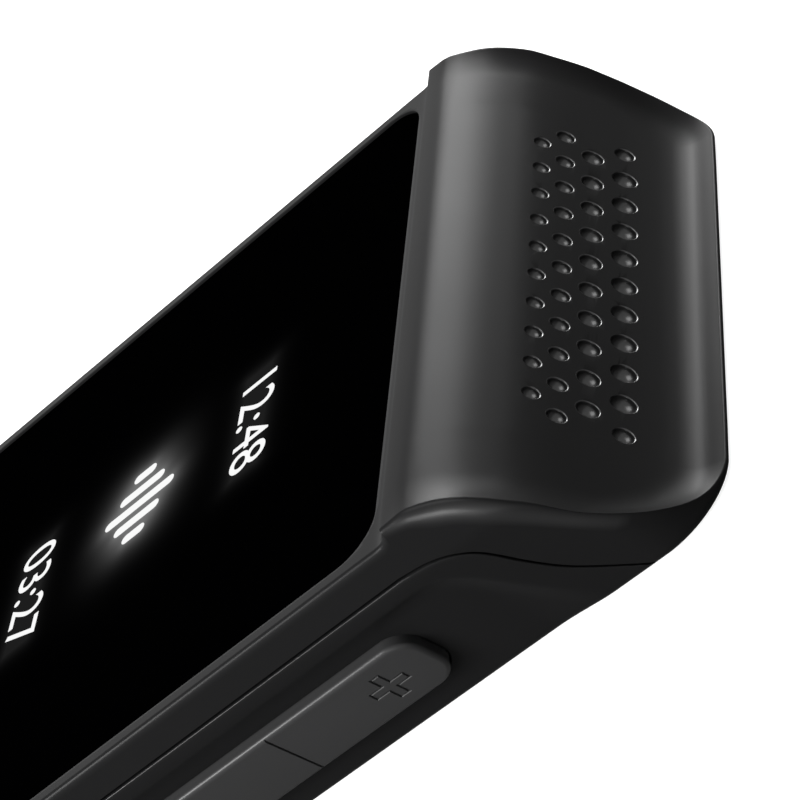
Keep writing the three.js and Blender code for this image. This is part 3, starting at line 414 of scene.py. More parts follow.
@dataclass(frozen=True)
class BodyForm:
    """Sizes and curves of the whole body, which both housings share."""

    half_length: float = 66
    half_bezel: float = 30
    front: float = 15.6
    reach: float = 17.7
    bulge: float = 0.4
    step: float = 0.4
    waist_depth: float = 0.5
    step_width: float = 2.0
    step_start: float = -0.15
    step_fade: tuple = (49.5, 5.5)
    shoulder: float = 12.2
    shoulder_round: float = 0.5
    side_slope: float = math.tan(LEAN)
    end_slope: float = math.tan(math.radians(6))
    corner: float = 9
    back_edge: float = 0.8
    lip_end: float = 65.3
    lip_edge: float = 0.7
    lip_height: float = 0.7
    hood_corner: float = 6.1
    wall: float = 1.6
    bezel_round: float = 0.7
    hood_round: float = 1.65
    slab_shine: float = 0.035
    shine_fade: tuple = (55.0, 9.0)
    hood_bulge: float = 0.9
    low_bulge: float = 0.12
    crest: float = 16.56
    low_blend: tuple = (56.8, 2.4)
    lip_bulge: float = 0.25
    lip_round: float = 0.25
    corner_start: float = 0.21
    corner_drop: float = 0.863
    blend: float = 5
    fillet: float = 3.4
    seam_gap: float = 0.25
    face_wall: float = 1.5
    ledge: float = 13.4
    rim_shares: tuple = (
        (0.046, 0.061), (0.150, 0.059), (0.226, 0.027), (0.311, -0.026), (0.395, -0.109),
        (0.494, -0.250), (0.633, -0.519), (0.689, -0.623), (0.729, -0.696), (0.772, -0.768),
        (0.811, -0.830), (0.845, -0.878), (0.874, -0.910), (0.897, -0.931), (0.930, -0.951),
        (0.966, -0.963), (1, -0.966),
    )
    floor_shares: tuple = (
        (0.046, 0.061), (0.150, 0.052), (0.226, 0.012), (0.311, -0.055), (0.395, -0.155),
        (0.486, -0.290), (0.593, -0.526), (0.661, -0.673), (0.720, -0.784), (0.775, -0.868),
        (0.818, -0.922), (0.853, -0.953), (0.890, -0.966), (0.945, -0.968), (1, -0.968),
    )
    seam_shares: tuple = (
        (-0.060, -0.167), (0.070, -0.185), (0.160, -0.222), (0.226, -0.288), (0.263, -0.365),
        (0.294, -0.468), (0.330, -0.571), (0.378, -0.680), (0.446, -0.788), (0.525, -0.897),
        (0.610, -1.010),
    )
    waist_shares: tuple = (
        (-0.140, -0.250), (-0.040, -0.252), (0.030, -0.272), (0.090, -0.330), (0.140, -0.420),
        (0.190, -0.540), (0.250, -0.680), (0.330, -0.850), (0.420, -1.010),
    )
    crease_shares: tuple = (
        (-0.120, 0), (-0.034, 0), (0.002, 0.008), (0.024, 0.026), (0.040, 0.050),
    )
    flat_half: float = 17.4
    grid: tuple = (21.6, -58.6, 61.2)
    side_spans: tuple = ((-55.0, 42, 15), (49.8, 57.4, 19), (57.55, 59.08, 12))
    crease_places: tuple = (
        44, 45.5, 46.4, 46.9, 47.3, 47.6, 47.85, 48.05, 48.2, 48.34, 48.48, 48.6, 48.7, 48.79,
        48.87, 48.95, 49.03, 49.12, 49.22, 49.35, 49.55,
    )
    middle_steps: int = 9
    corner_steps: int = 8
    round_search: tuple = (-0.1, 1.6, 400)
    path_steps: tuple = (420, 40)
    back_run: tuple = (50, 160)

    @property
    def crease(self) -> float:
        """Where the hood starts along Y."""
        return self.half_length - self.reach

    def line(self, shares: Sequence[tuple[float, float]]) -> Ring:
        """Draws a side line through shares of the hood, as Y and Z."""
        return spline(shares, self.crease, self.reach, self.front)

    def side_line(self, shares: Sequence[tuple[float, float]]) -> Ring:
        """Draws a side line that runs level along the slab before it turns down at the hood."""
        line = self.line(shares)
        return np.vstack([[(-2 * self.half_length, line[0, 1])], line])

    def level(self, y: Ring, shares: Sequence[tuple[float, float]]) -> Ring:
        """Gives the level of the front at places along Y, on a line of shares of the hood."""
        line = self.line(self.crease_shares + shares)
        return np.minimum(np.interp(y, line[:, 0], line[:, 1], left=self.front), self.crest)

    def rim(self, y: Ring) -> Ring:
        """Gives the level of the front's edge at places along Y."""
        return self.level(y, self.rim_shares)

    def floor(self, y: Ring) -> Ring:
        """Gives the level of the front's middle at places along Y."""
        return self.level(y, self.floor_shares)

    def hood_share(self, y: Ring) -> Ring:
        """Says how far past the crease a place is, from 0 on the slab to 1 on the hood."""
        return eased((np.asarray(y) - self.crease) / self.blend)

    def bulge_at(self, y: Ring) -> Ring:
        """Gives how far the round edge stands out from the rim along the sides."""
        start, reach = self.low_blend
        high = self.bulge + (self.hood_bulge - self.bulge) * self.hood_share(y)
        return high + (self.low_bulge - high) * eased((np.asarray(y) - start) / reach)

    def shine_at(self, column: Column) -> float:
        """Gives how polished the round edge is at a column: most on the hood's shoulder."""
        if column.stretch in (Stretch.LIP, Stretch.HOOD_CORNER):
            return 0.0
        if column.stretch is not Stretch.SIDE:
            return self.slab_shine
        start, reach = self.shine_fade
        fade = float(eased((column.place - start) / reach))
        share = float(self.hood_share(column.place))
        return (self.slab_shine + (1 - self.slab_shine) * share) * (1 - fade)

    def side_at(self, z: Ring) -> Ring:
        """Gives the half width of the body at a level, with a soft shoulder."""
        under, soft = self.shoulder - z, self.shoulder_round
        lean = np.where(
            under > soft, under, np.where(under < -soft, 0, (under + soft) ** 2 / (4 * soft))
        )
        return self.half_bezel + self.bulge - self.side_slope * lean

    def low_at(self, z: Ring) -> Ring:
        """Gives the chin end's place along Y at a level."""
        return -self.half_length + self.end_slope * np.maximum(0, self.shoulder - z)

    @staticmethod
    def drawn_in(z: Ring, reach: float, height: float) -> Ring:
        """Gives how far a round edge of a reach and a height draws in at a level."""
        rise = np.clip(1 - z / height, 0, 1)
        return reach * (1 - np.sqrt(1 - rise**2))

    def edge_at(self, z: Ring) -> Ring:
        """Gives how far the round back edge draws the outline in at a level."""
        return self.drawn_in(z, self.back_edge, self.back_edge)

    def lip_at(self, z: Ring) -> Ring:
        """Gives how far the hood's lip is drawn in at a level."""
        return self.drawn_in(z, self.lip_edge, self.lip_height)

    def outline(self, column: Column, z: Ring, inset: Ring) -> Ring:
        """Places a column of the skin.

        Args:
            column: the column.
            z: its levels.
            inset: how far it is drawn in at each level.

        Returns:
            Points, one for each level.
        """
        z, inset = np.broadcast_arrays(np.asarray(z, float), np.asarray(inset, float))
        half, radius = self.side_at(z), self.corner - inset
        turn = (math.cos(column.place), math.sin(column.place))
        if column.stretch is Stretch.SIDE:
            x, y = half - inset, np.full_like(z, column.place)
        elif column.stretch is Stretch.CHIN:
            x, y = np.full_like(z, column.place), self.low_at(z) + inset
        elif column.stretch is Stretch.LIP:
            x, y = np.full_like(z, column.place), self.lip_end - self.lip_at(z)
        elif column.stretch is Stretch.CHIN_CORNER:
            x = half - self.corner + radius * turn[0]
            y = self.low_at(z) + self.corner + radius * turn[1]
        else:
            radius = self.hood_corner - inset
            x = half - self.hood_corner + radius * turn[0]
            y = self.lip_end - self.lip_at(z) - radius + radius * turn[1]
        return np.stack([x, y, z], -1)

    def columns(self) -> list[Column]:
        """Lists the columns of the right half, from the middle of the chin to that of the lip."""
        half, grid, steps = self.flat_half, self.grid, self.corner_steps
        first, *others = [np.linspace(*span) for span in self.side_spans]
        side = np.concatenate([first, self.crease_places, *others])
        low, high = side[0], side[-1]
        ends = np.linspace(0, half, self.middle_steps)
        shares = np.arange(1, steps + 1) / steps
        made = [Column(Stretch.CHIN, x, (x, grid[1])) for x in ends]
        for share in shares:
            x = half + (grid[0] - half) * share
            made.append(Column(Stretch.CHIN_CORNER, -math.pi / 2 * (1 - share / 2), (x, grid[1])))
        for share in shares[:-1]:
            y = grid[1] + (low - grid[1]) * share
            made.append(Column(Stretch.CHIN_CORNER, -math.pi / 4 * (1 - share), (grid[0], y)))
        made += [Column(Stretch.SIDE, y, (grid[0], y)) for y in side]
        for share in shares:
            y = high + (grid[2] - high) * share
            made.append(Column(Stretch.HOOD_CORNER, math.pi / 4 * share, (grid[0], y)))
        for share in shares[:-1]:
            x = grid[0] - (grid[0] - half) * share
            made.append(Column(Stretch.HOOD_CORNER, math.pi / 4 * (1 + share), (x, grid[2])))
        made += [Column(Stretch.LIP, x, (x, grid[2])) for x in ends[::-1]]
        return made


def mirrored(half: Sequence[Ring]) -> Ring:
    """Completes a ring from its right half, whose first and last points lie in the middle."""
    right = np.asarray(half)
    left = right[-2:0:-1] * np.array([-1, 1, 1])
    return np.vstack([right, left])


@dataclass
class ColumnPath:
    """The line that one column follows down the side and over the back edge."""

    points: Ring
    ahead: Ring

    def cut(self, ahead: float) -> float:
        """Finds where the line first falls to a distance ahead of the seam, as a length."""
        length = self.lengths()
        below = np.nonzero(self.ahead <= ahead)[0]
        if not len(below):
            return length[-1]
        index = below[0]
        if index == 0:
            return 0.0
        a, b = self.ahead[index - 1], self.ahead[index]
        return length[index - 1] + (length[index] - length[index - 1]) * (a - ahead) / (a - b)

    def lengths(self) -> Ring:
        """Gives the length along the line at each of its points."""
        steps = np.linalg.norm(np.diff(self.points, axis=0), axis=1)
        return np.concatenate([[0], np.cumsum(steps)])

    def at(self, length: Ring) -> Ring:
        """Gives the points at lengths along the line."""
        own = self.lengths()
        return np.stack([np.interp(length, own, self.points[:, k]) for k in range(3)], -1)

    def spread(self, start: float, end: float, count: int, bend: float = 3.0) -> Ring:
        """Spaces points between two lengths, closer together where the line bends.

        Args:
            start: the first length.
            end: the last length.
            count: how many steps there are.
            bend: the extra length that a radian of bending counts for.

        Returns:
            The points, without the first.
        """
        samples, blur = 240, 9
        lengths = np.linspace(start, end, samples)
        points = self.at(lengths)
        steps = np.diff(points, axis=0)
        size = np.linalg.norm(steps, axis=1)
        if size.sum() < TINY:
            return np.repeat(points[-1:], count, 0)
        unit = steps / np.maximum(size, LEAST)[:, None]
        turn = np.arccos(np.clip((unit[1:] * unit[:-1]).sum(1), -1, 1))
        weight = size + bend * np.concatenate([turn, [0]])
        weight = np.pad(weight, blur // 2, mode="edge")
        weight = np.convolve(weight, np.ones(blur) / blur, "valid")
        total = np.concatenate([[0], np.cumsum(weight)])
        wanted = np.linspace(0, total[-1], count + 1)[1:]
        return self.at(np.interp(wanted, total, lengths))

    def reach(self, level: float) -> float:
        """Finds the length at which the line first comes down to a level."""
        low = np.nonzero(self.points[:, 2] <= level + TINY)[0]
        return self.lengths()[low[0] if len(low) else -1]

    def staged(self, start: float, ends: Sequence[float], counts: Sequence[int]) -> Ring:
        """Spaces points stage by stage, each stage with its own count, without the first point."""
        points = []
        for end, count in zip(ends, counts):
            end = max(start, end)
            points.append(self.spread(start, end, count))
            start = end
        return np.vstack(points)


@dataclass(frozen=True)
class GlassForm:
    """The cover glass's outline and levels."""

    width: float = 57.6
    low: float = -50.9
    high: float = 47.1
    corner: float = 3.2
    bottom: float = 14.68
    top: float = 15.48

    @property
    def middle(self) -> Ring:
        """Gives the glass's middle, as X and Y."""
        return np.array([0, (self.high + self.low) / 2])

    def outline(self, grow: float, steps: int) -> Ring:
        """Gives the glass's outline, grown, with a number of steps round each corner."""
        return grown((self.width, self.high - self.low, self.corner), grow, steps) + self.middle


@dataclass
class Housings:
    """The front housing with its hood, and the tub that closes it from behind."""

    form: BodyForm = field(default_factory=BodyForm)
    glass: GlassForm = field(default_factory=GlassForm)
    close_gap: float = 0.15
    seat: float = 14.5
    pocket_edge: tuple = ((-0.1, 0), (-0.03, 0.025), (TOUCH, 0.1), (2, 0.1))
    opening: tuple = (51.8, 92.6, 1.8)
    opening_floor: float = 11
    hole_pitch: float = 3.67
    row_shares: tuple = ((0.486, -0.290), (0.536, -0.398), (0.593, -0.526), (0.661, -0.673))
    row_diameters: tuple = (1.3, 1.44, 1.72, 1.96)
    row_counts: tuple = (10, 11, 10, 11)
    end_diameter: float = 1.6
    hole_round: float = 0.1
    hole_bowl: float = 0.75
    hole_deep: float = 1.3
    hole_margin: float = 0.11
    hole_power: float = 0.85
    hole_past: float = 1.2
    hole_sides: int = 28
    hole_steps: tuple = (4, 7, 7.4)
    dish_every: int = 6
    seam_shine: float = 0.17
    shine_power: float = 1.5
    key_gap: float = 0.15
    inner_shares: tuple = (0.34, 0.67)
    front_depths: tuple = (3.4, 3.0, 2.6, 2.2, 1.8, 1.4, 1.05, 0.75, 0.5, 0.3, 0.15, 0.06, 0)
    edge_steps: int = 9
    front_counts: tuple = (16, 7, 4)
    front_seam: tuple = (0.14, 0.07, 0.02, 0)
    rear_counts: tuple = (40, 7)
    rear_seam: tuple = ((0, 0.14), (0.02, 0.075), (0.06, 0.025), (0.12, 0))
    rear_starts: tuple = (6.0, 1.2, 0.3)
    near_turn: float = 0.5
    rear_fade: float = 2.4
    seam_ends: tuple = (1.2, 0.2)
    past: float = 2

    def rim_ring(self, column: Column) -> tuple[Ring, Ring, Ring]:
        """Finds a column's edge between front and side.

        Args:
            column: the column.

        Returns:
            The rim point, the outward step of the round edge, and the side point under it.
        """
        form, angle = self.form, column.place
        if column.stretch in (Stretch.CHIN, Stretch.CHIN_CORNER):
            share = 1.0 if column.stretch is Stretch.CHIN else abs(angle) / (math.pi / 2)
            bulge = form.bulge + (form.bezel_round - form.bulge) * share
            rim = form.outline(column, form.front, bulge)
            foot = form.outline(column, form.front - form.bezel_round, 0)
            return rim, form.outline(column, form.front, 0) - rim, foot
        if column.stretch is Stretch.SIDE:
            return self.side_rim(column)
        on_lip, right, start = column.stretch is Stretch.LIP, math.pi / 2, form.corner_start
        share = 1.0 if on_lip else angle / right
        turned = right if on_lip else start + (right - start) * share
        fade = math.sin(share * math.pi / 2) ** 2
        middle = form.lip_end - form.hood_corner
        bulge = float(form.bulge_at(middle + form.hood_corner * math.sin(turned)))
        bulge += (form.lip_bulge - bulge) * fade
        y = middle + (form.hood_corner - bulge) * math.sin(turned)
        level = float(form.rim(y))
        x = form.side_at(level) - form.hood_corner + (form.hood_corner - bulge) * math.cos(turned)
        drop = form.corner_drop + (form.lip_round - form.corner_drop) * fade
        foot = form.outline(column, level - drop, 0)
        flat = bulge * np.array([math.cos(turned), math.sin(turned), 0])
        return np.array([angle if on_lip else x, y, level]), flat, foot

    def side_rim(self, column: Column) -> tuple[Ring, Ring, Ring]:
        """Finds a side column's edge: the place whose round edge comes down on the column.

        Args:
            column: the column.

        Returns:
            The rim point, the outward step of the round edge, and the side point under it.
        """
        form = self.form
        before, after, count = form.round_search
        y = np.linspace(column.place + before, column.place + after, count)
        slope = np.gradient(form.rim(y), y)
        size, share = np.hypot(1, slope), form.hood_share(y)
        inward = np.stack([slope / size * share, -(1 - share) - share / size], -1)
        inward /= np.linalg.norm(inward, axis=1)[:, None]
        drop = form.bezel_round + (form.hood_round - form.bezel_round) * share
        index = np.abs(y + inward[:, 0] * drop - column.place).argmin()
        bulge, level = float(form.bulge_at(y[index])), form.rim(y[index])
        foot = form.outline(column, level + inward[index, 1] * drop[index], 0)
        past = max(0.0, y[index] - (form.lip_end - form.hood_corner))
        radius = form.hood_corner - bulge
        across = radius - math.sqrt(radius**2 - past**2)
        rim = np.array([form.side_at(level) - bulge - across, y[index], level])
        return rim, np.array([bulge, bulge * past / radius, 0]), foot

    def front_point(self, column: Column, depth: float) -> Ring:
        """Places a column's point on the front, at a distance in from its rim."""
        rim, flat, _ = self.rim_ring(column)
        outward = flat / max(np.linalg.norm(flat), LEAST)
        point = rim - outward * depth
        return self.on_front(point[0], point[1], depth)

    def on_front(self, x: float, y: float, depth: float) -> Ring:
        """Lifts a place on the front to the dish's surface, at a distance in from the rim."""
        form = self.form
        floor, rim = float(form.floor(y)), float(form.rim(y))
        share = max(0.0, 1 - depth / form.fillet)
        return np.array([x, y, floor + (rim - floor) * share**2])

    def path(self, column: Column, start: float, stepped: bool) -> ColumnPath:
        """Follows a column from a level down the side, over the back edge and over the back.

        Args:
            column: the column.
            start: the level to start from.
            stepped: hollows the waist under the front housing.

        Returns:
            The path, with its distances ahead of the seam.
        """
        form = self.form
        even, turned = form.path_steps
        turns = 1 - np.sin(np.linspace(0, math.pi / 2, turned))
        levels = np.concatenate([
            np.linspace(start, 0, even), form.back_edge * turns, form.lip_height * turns,
        ])
        levels = np.unique(np.clip(levels, 0, start))[::-1]
        inset = form.edge_at(levels)
        plain = form.outline(column, levels, inset)
        if stepped:
            waist = signed_distance(form.side_line(form.waist_shares), plain[:, 1], plain[:, 2])
            fade = 1 - eased((plain[:, 1] - form.step_fade[0]) / form.step_fade[1])
            share = hollowed((form.step_start - waist) / form.step_width)
            inset = inset + form.waist_depth * fade * share
            plain = form.outline(column, levels, inset)
        last = plain[-1]
        back, count = form.back_run
        run = np.linspace(0, max(0.0, last[1] - back), count)[1:]
        plain = np.vstack([plain, [(last[0], last[1] - step, 0) for step in run]])
        seam = form.side_line(form.seam_shares)
        return ColumnPath(plain, signed_distance(seam, plain[:, 1], plain[:, 2]))

    def close_seam(self, piece: Piece, seam: Sequence[Ring]) -> None:
        """Closes a skin across its seam with strips from side to side.

        Args:
            piece: the skin, whose only open edge is the seam.
            seam: the right half of the seam's points.
        """
        first, last = seam[0][1] + self.seam_ends[0], seam[-1][1] - self.seam_ends[1]
        edit(piece, "EDGE")
        pick(piece, "edges", lambda edge: edge.is_boundary and all(
            first <= vert.co.y <= last for vert in edge.verts
        ))
        bpy.ops.mesh.bridge_edge_loops()
        bpy.ops.mesh.select_all(action="SELECT")
        bpy.ops.mesh.fill_holes(sides=0)
        turn_out()

    def front_skin(self) -> Piece:
        """Models the front housing's closed outer form.

        Returns:
            The object, still solid inside.
        """
        form, columns, places = self.form, self.form.columns(), 5
        xs = sorted({round(c.grid[0], places) for c in columns if c.grid[1] == columns[0].grid[1]})
        xs = [-x for x in xs[:0:-1]] + xs
        ys = sorted({round(c.grid[1], places) for c in columns})
        rest_all()
        bpy.ops.mesh.primitive_grid_add(
            x_subdivisions=len(xs) - 1, y_subdivisions=len(ys) - 1, size=2
        )
        piece = named("front_shell")
        flat = np.array([self.on_front(x, y, form.fillet) for y in ys for x in xs])
        piece.data.vertices.foreach_set("co", flat.ravel())
        loop = mirrored([(*c.grid, 0) for c in columns])
        spots = {(round(p[0], 3), round(p[1], 3)): k for k, p in enumerate(loop)}
        numbers = [spots.get((round(p[0], 3), round(p[1], 3)), -1) for p in flat]
        tag(piece, "column", "INT", np.array(numbers, np.int32))
        tag(piece, "polish", "FLOAT", np.zeros(len(flat)))
        rings = []
        inner = [np.array([*c.grid, 0]) for c in columns]
        edge = [self.front_point(c, form.fillet) for c in columns]
        for share in self.inner_shares:
            middle = [a + (b - a) * share for a, b in zip(inner, edge)]
            rings.append([self.on_front(p[0], p[1], form.fillet) for p in middle])
        rings += [[self.front_point(c, depth) for c in columns] for depth in self.front_depths]
        rims, before = [self.rim_ring(c) for c in columns], len(rings)
        for sine, cosine in quarter(self.edge_steps, 1):
            rings.append([
                rim + flat * sine + (foot - rim - flat) * (1 - cosine) for rim, flat, foot in rims
            ])
        paths = [self.path(c, foot[2], False) for c, (_, _, foot) in zip(columns, rims)]
        down = []
        for path in paths:
            cut = path.cut(self.front_seam[0])
            ends = (min(cut, path.reach(form.back_edge)), min(cut, path.reach(0)), cut)
            down.append(path.staged(0, ends, self.front_counts))
        rings += [list(points) for points in zip(*down)]
        rings += [[path.at(path.cut(ahead)) for path in paths] for ahead in self.front_seam[1:]]
        edit(piece, "EDGE")
        pick(piece, "edges", lambda edge: edge.is_boundary)
        half = [form.shine_at(c) for c in columns]
        shares, power = np.array(half + half[-2:0:-1]), self.shine_power
        polish = [np.zeros(len(shares))] * len(rings)
        for k in range(1, self.edge_steps + 1):
            along = (k / self.edge_steps) ** power
            polish[before + k - 1] = shares * math.sin(math.pi * along) ** power
        extrude_rings(piece, [mirrored(ring) for ring in rings], polish)
        bpy.ops.mesh.select_all(action="SELECT")
        bpy.ops.mesh.remove_doubles(threshold=WELD)
        bpy.ops.object.mode_set(mode="OBJECT")
        self.close_seam(piece, rings[-1])
        return piece

    def rear_skin(self) -> Piece:
        """Models the tub's closed outer form.

        Returns:
            The object, still solid inside.
        """
        form, columns = self.form, self.form.columns()
        corner_start, lip_start, under_rim = self.rear_starts
        paths, inward = [], []
        for column in columns:
            start, out = form.front - form.bezel_round, (1.0, 0, 0)
            if column.stretch in (Stretch.LIP, Stretch.HOOD_CORNER):
                near = column.stretch is Stretch.HOOD_CORNER and column.place < self.near_turn
                start = corner_start if near else lip_start
            elif column.stretch is Stretch.SIDE and column.place > form.crease:
                start = min(start, float(form.rim(column.place)) - under_rim)
            elif column.stretch is Stretch.CHIN:
                out = (0, -1.0, 0)
            elif column.stretch is Stretch.CHIN_CORNER:
                out = (math.cos(column.place), math.sin(column.place), 0)
            paths.append(self.path(column, start, True))
            inward.append(-np.array(out))
        rings: list[list[Ring]] = []
        for behind, inset in self.rear_seam:
            points = [path.at(path.cut(-form.seam_gap - behind)) for path in paths]
            rings.append([
                point + way * inset * eased(point[2] / self.rear_fade)
                for point, way in zip(points, inward)
            ])
        sides = []
        for path in paths:
            start = path.cut(-form.seam_gap - self.rear_seam[-1][0])
            ends = (path.reach(form.back_edge), path.reach(0))
            sides.append(path.staged(start, ends, self.rear_counts))
        polish = [self.seam_shine] * len(rings) + [0.0] * sum(self.rear_counts)
        rings += [list(points) for points in zip(*sides)]
        rear = [mirrored(ring) for ring in rings]
        piece = ring_skin("rear_shell", rear, first=False, polish=polish)
        self.close_seam(piece, rings[0])
        return piece

    def hollow(self) -> Piece:
        """Models the room inside both housings."""
        form, past = self.form, self.past
        across = form.wall / math.cos(LEAN)
        low = -form.half_length + form.wall + form.end_slope * form.shoulder
        high = form.lip_end - form.wall
        rings = []
        for level in (form.wall, form.shoulder, form.front):
            half = form.half_bezel + form.bulge - form.side_slope * max(0, form.shoulder - level)
            width = 2 * (half - form.step - across)
            outline = rounded(width, high - low, form.corner - form.step - across)
            rings.append(lifted(outline + np.array([0, (high + low) / 2]), level))
        room = ring_skin("room", rings)
        line = form.line(form.floor_shares)
        steps = np.gradient(line, axis=0)
        steps /= np.linalg.norm(steps, axis=1)[:, None]
        behind = line + np.stack([steps[:, 1], -steps[:, 0]], -1) * form.face_wall
        behind = behind[behind[:, 0] > form.crease + form.wall][::self.dish_every]
        bound = np.vstack([
            [(low - past, -past), (form.half_length, -past), (form.half_length, behind[-1, 1])],
            behind[::-1],
            [(form.crease + form.wall, form.front), (form.crease + form.wall, form.ledge)],
            [(low - past, form.ledge)],
        ])
        sides = (-form.half_length, form.half_length)
        limit = ring_skin("limit", [lifted(bound, side, "x") for side in sides])
        carve(room, limit, "INTERSECT")
        return room

    def on_hood(self, share: tuple[float, float]) -> Ring:
        """Gives a place on the hood, in Y and Z, from its shares of the hood."""
        form = self.form
        return np.array([form.crease + share[0] * form.reach, form.front * (1 + share[1])])

    def hood_frame(self) -> tuple[Ring, Ring]:
        """Gives the hood face's downhill and outward directions, in Y and Z."""
        along = self.on_hood(self.row_shares[-1]) - self.on_hood(self.row_shares[0])
        along /= np.linalg.norm(along)
        return along, np.array([-along[1], along[0]])

    def sound_hole(self, diameter: float) -> Piece:
        """Models the tool for one sound hole, along Z with its mouth at the origin."""
        radius, soft = diameter / 2, self.hole_round
        round_steps, steps, end = self.hole_steps
        profile = [(1, radius + soft), (2 * TOUCH, radius + soft)]
        for sine, cosine in quarter(round_steps, 1):
            profile.append((-soft * (1 - cosine) - TOUCH, radius + soft * (1 - sine)))
        for step in range(1, steps + 1):
            angle = math.pi / 2 * step / end
            depth = soft + self.hole_bowl * radius * math.sin(angle)
            profile.append((-depth, radius * math.cos(angle) ** self.hole_power))
        profile.append((-self.form.face_wall - self.hole_past, profile[-1][1]))
        return ring_skin("hole", [
            lifted(circle(2 * across, self.hole_sides), level) for level, across in profile
        ])

    def hole_places(self) -> list[tuple[Ring, float]]:
        """Lists the middle of each sound hole's mouth, and the hole's diameter."""
        made, pitch = [], self.hole_pitch
        for shares, count, diameter in zip(self.row_shares, self.row_counts, self.row_diameters):
            for index in range(count):
                ends = shares is self.row_shares[-1] and index in (0, count - 1)
                place = np.array([(index - (count - 1) / 2) * pitch, *self.on_hood(shares)])
                made.append((place, self.end_diameter if ends else diameter))
        return made

    def sound_holes(self) -> Piece:
        """Models the tool for all sound holes."""
        _, out = self.hood_frame()
        turn = Vector((0, out[0], out[1])).to_track_quat("Z", "Y").to_matrix().to_4x4()
        tools = [
            placed(self.sound_hole(diameter), Matrix.Translation(place) @ turn)
            for place, diameter in self.hole_places()
        ]
        return join(tools, "holes")

    def polish_holes(self, piece: Piece) -> None:
        """Marks the walls of the sound holes as polished, and the face round them as satin."""
        along, out = self.hood_frame()
        mesh = piece.data
        points = np.empty(3 * len(mesh.vertices))
        mesh.vertices.foreach_get("co", points)
        points = points.reshape(-1, 3)
        shine = np.empty(len(points))
        mesh.attributes["polish"].data.foreach_get("value", shine)
        hole = np.full(len(points), -1)
        for number, (place, diameter) in enumerate(self.hole_places()):
            away = points - place
            depth = -(away[:, 1] * out[0] + away[:, 2] * out[1])
            across = np.hypot(away[:, 0], away[:, 1] * along[0] + away[:, 2] * along[1])
            near = across < diameter / 2 + self.hole_margin
            hole[near & (np.abs(depth) < self.hole_deep)] = number
        shine[hole >= 0] = 1
        corners = np.empty(len(mesh.loops), dtype=np.int32)
        mesh.loops.foreach_get("vertex_index", corners)
        starts = np.empty(len(mesh.polygons), dtype=np.int32)
        mesh.polygons.foreach_get("loop_start", starts)
        most, least = (np.repeat(
            extreme.reduceat(hole[corners], starts), np.diff(np.append(starts, len(corners)))
        ) for extreme in (np.maximum, np.minimum))
        shine[corners[(most != least) & (hole[corners] >= 0)]] = 0
        mesh.attributes["polish"].data.foreach_set("value", shine)

    def build_front(self) -> Piece:
        """Models the whole front housing.

        Returns:
            The finished piece.
        """
        piece = self.front_skin()
        carve(piece, self.hollow())
        glass, gap, top = self.glass, self.close_gap, self.form.front
        profile = [(self.seat, 0), *((top + up, grow) for up, grow in self.pocket_edge)]
        carve(piece, ring_skin("pocket", [
            lifted(glass.outline(gap + grow, steps=10), level) for level, grow in profile
        ]))
        window = grown(self.opening, 0, steps=6) + glass.middle
        levels = (self.opening_floor, top + 1)
        carve(piece, ring_skin("opening", [lifted(window, level) for level in levels]))
        carve(piece, self.sound_holes())
        self.polish_holes(piece)
        return even_normals(finished(piece, "case", ["front_housing"]))

    def build_rear(self, tools: Sequence[Piece]) -> Piece:
        """Models the tub and cuts its openings.

        Args:
            tools: the solids of the openings.

        Returns:
            The finished piece.
        """
        piece = self.rear_skin()
        carve(piece, self.hollow())
        for tool in tools:
            carve(piece, tool)
        return even_normals(finished(piece, "case", ["rear_housing"]))


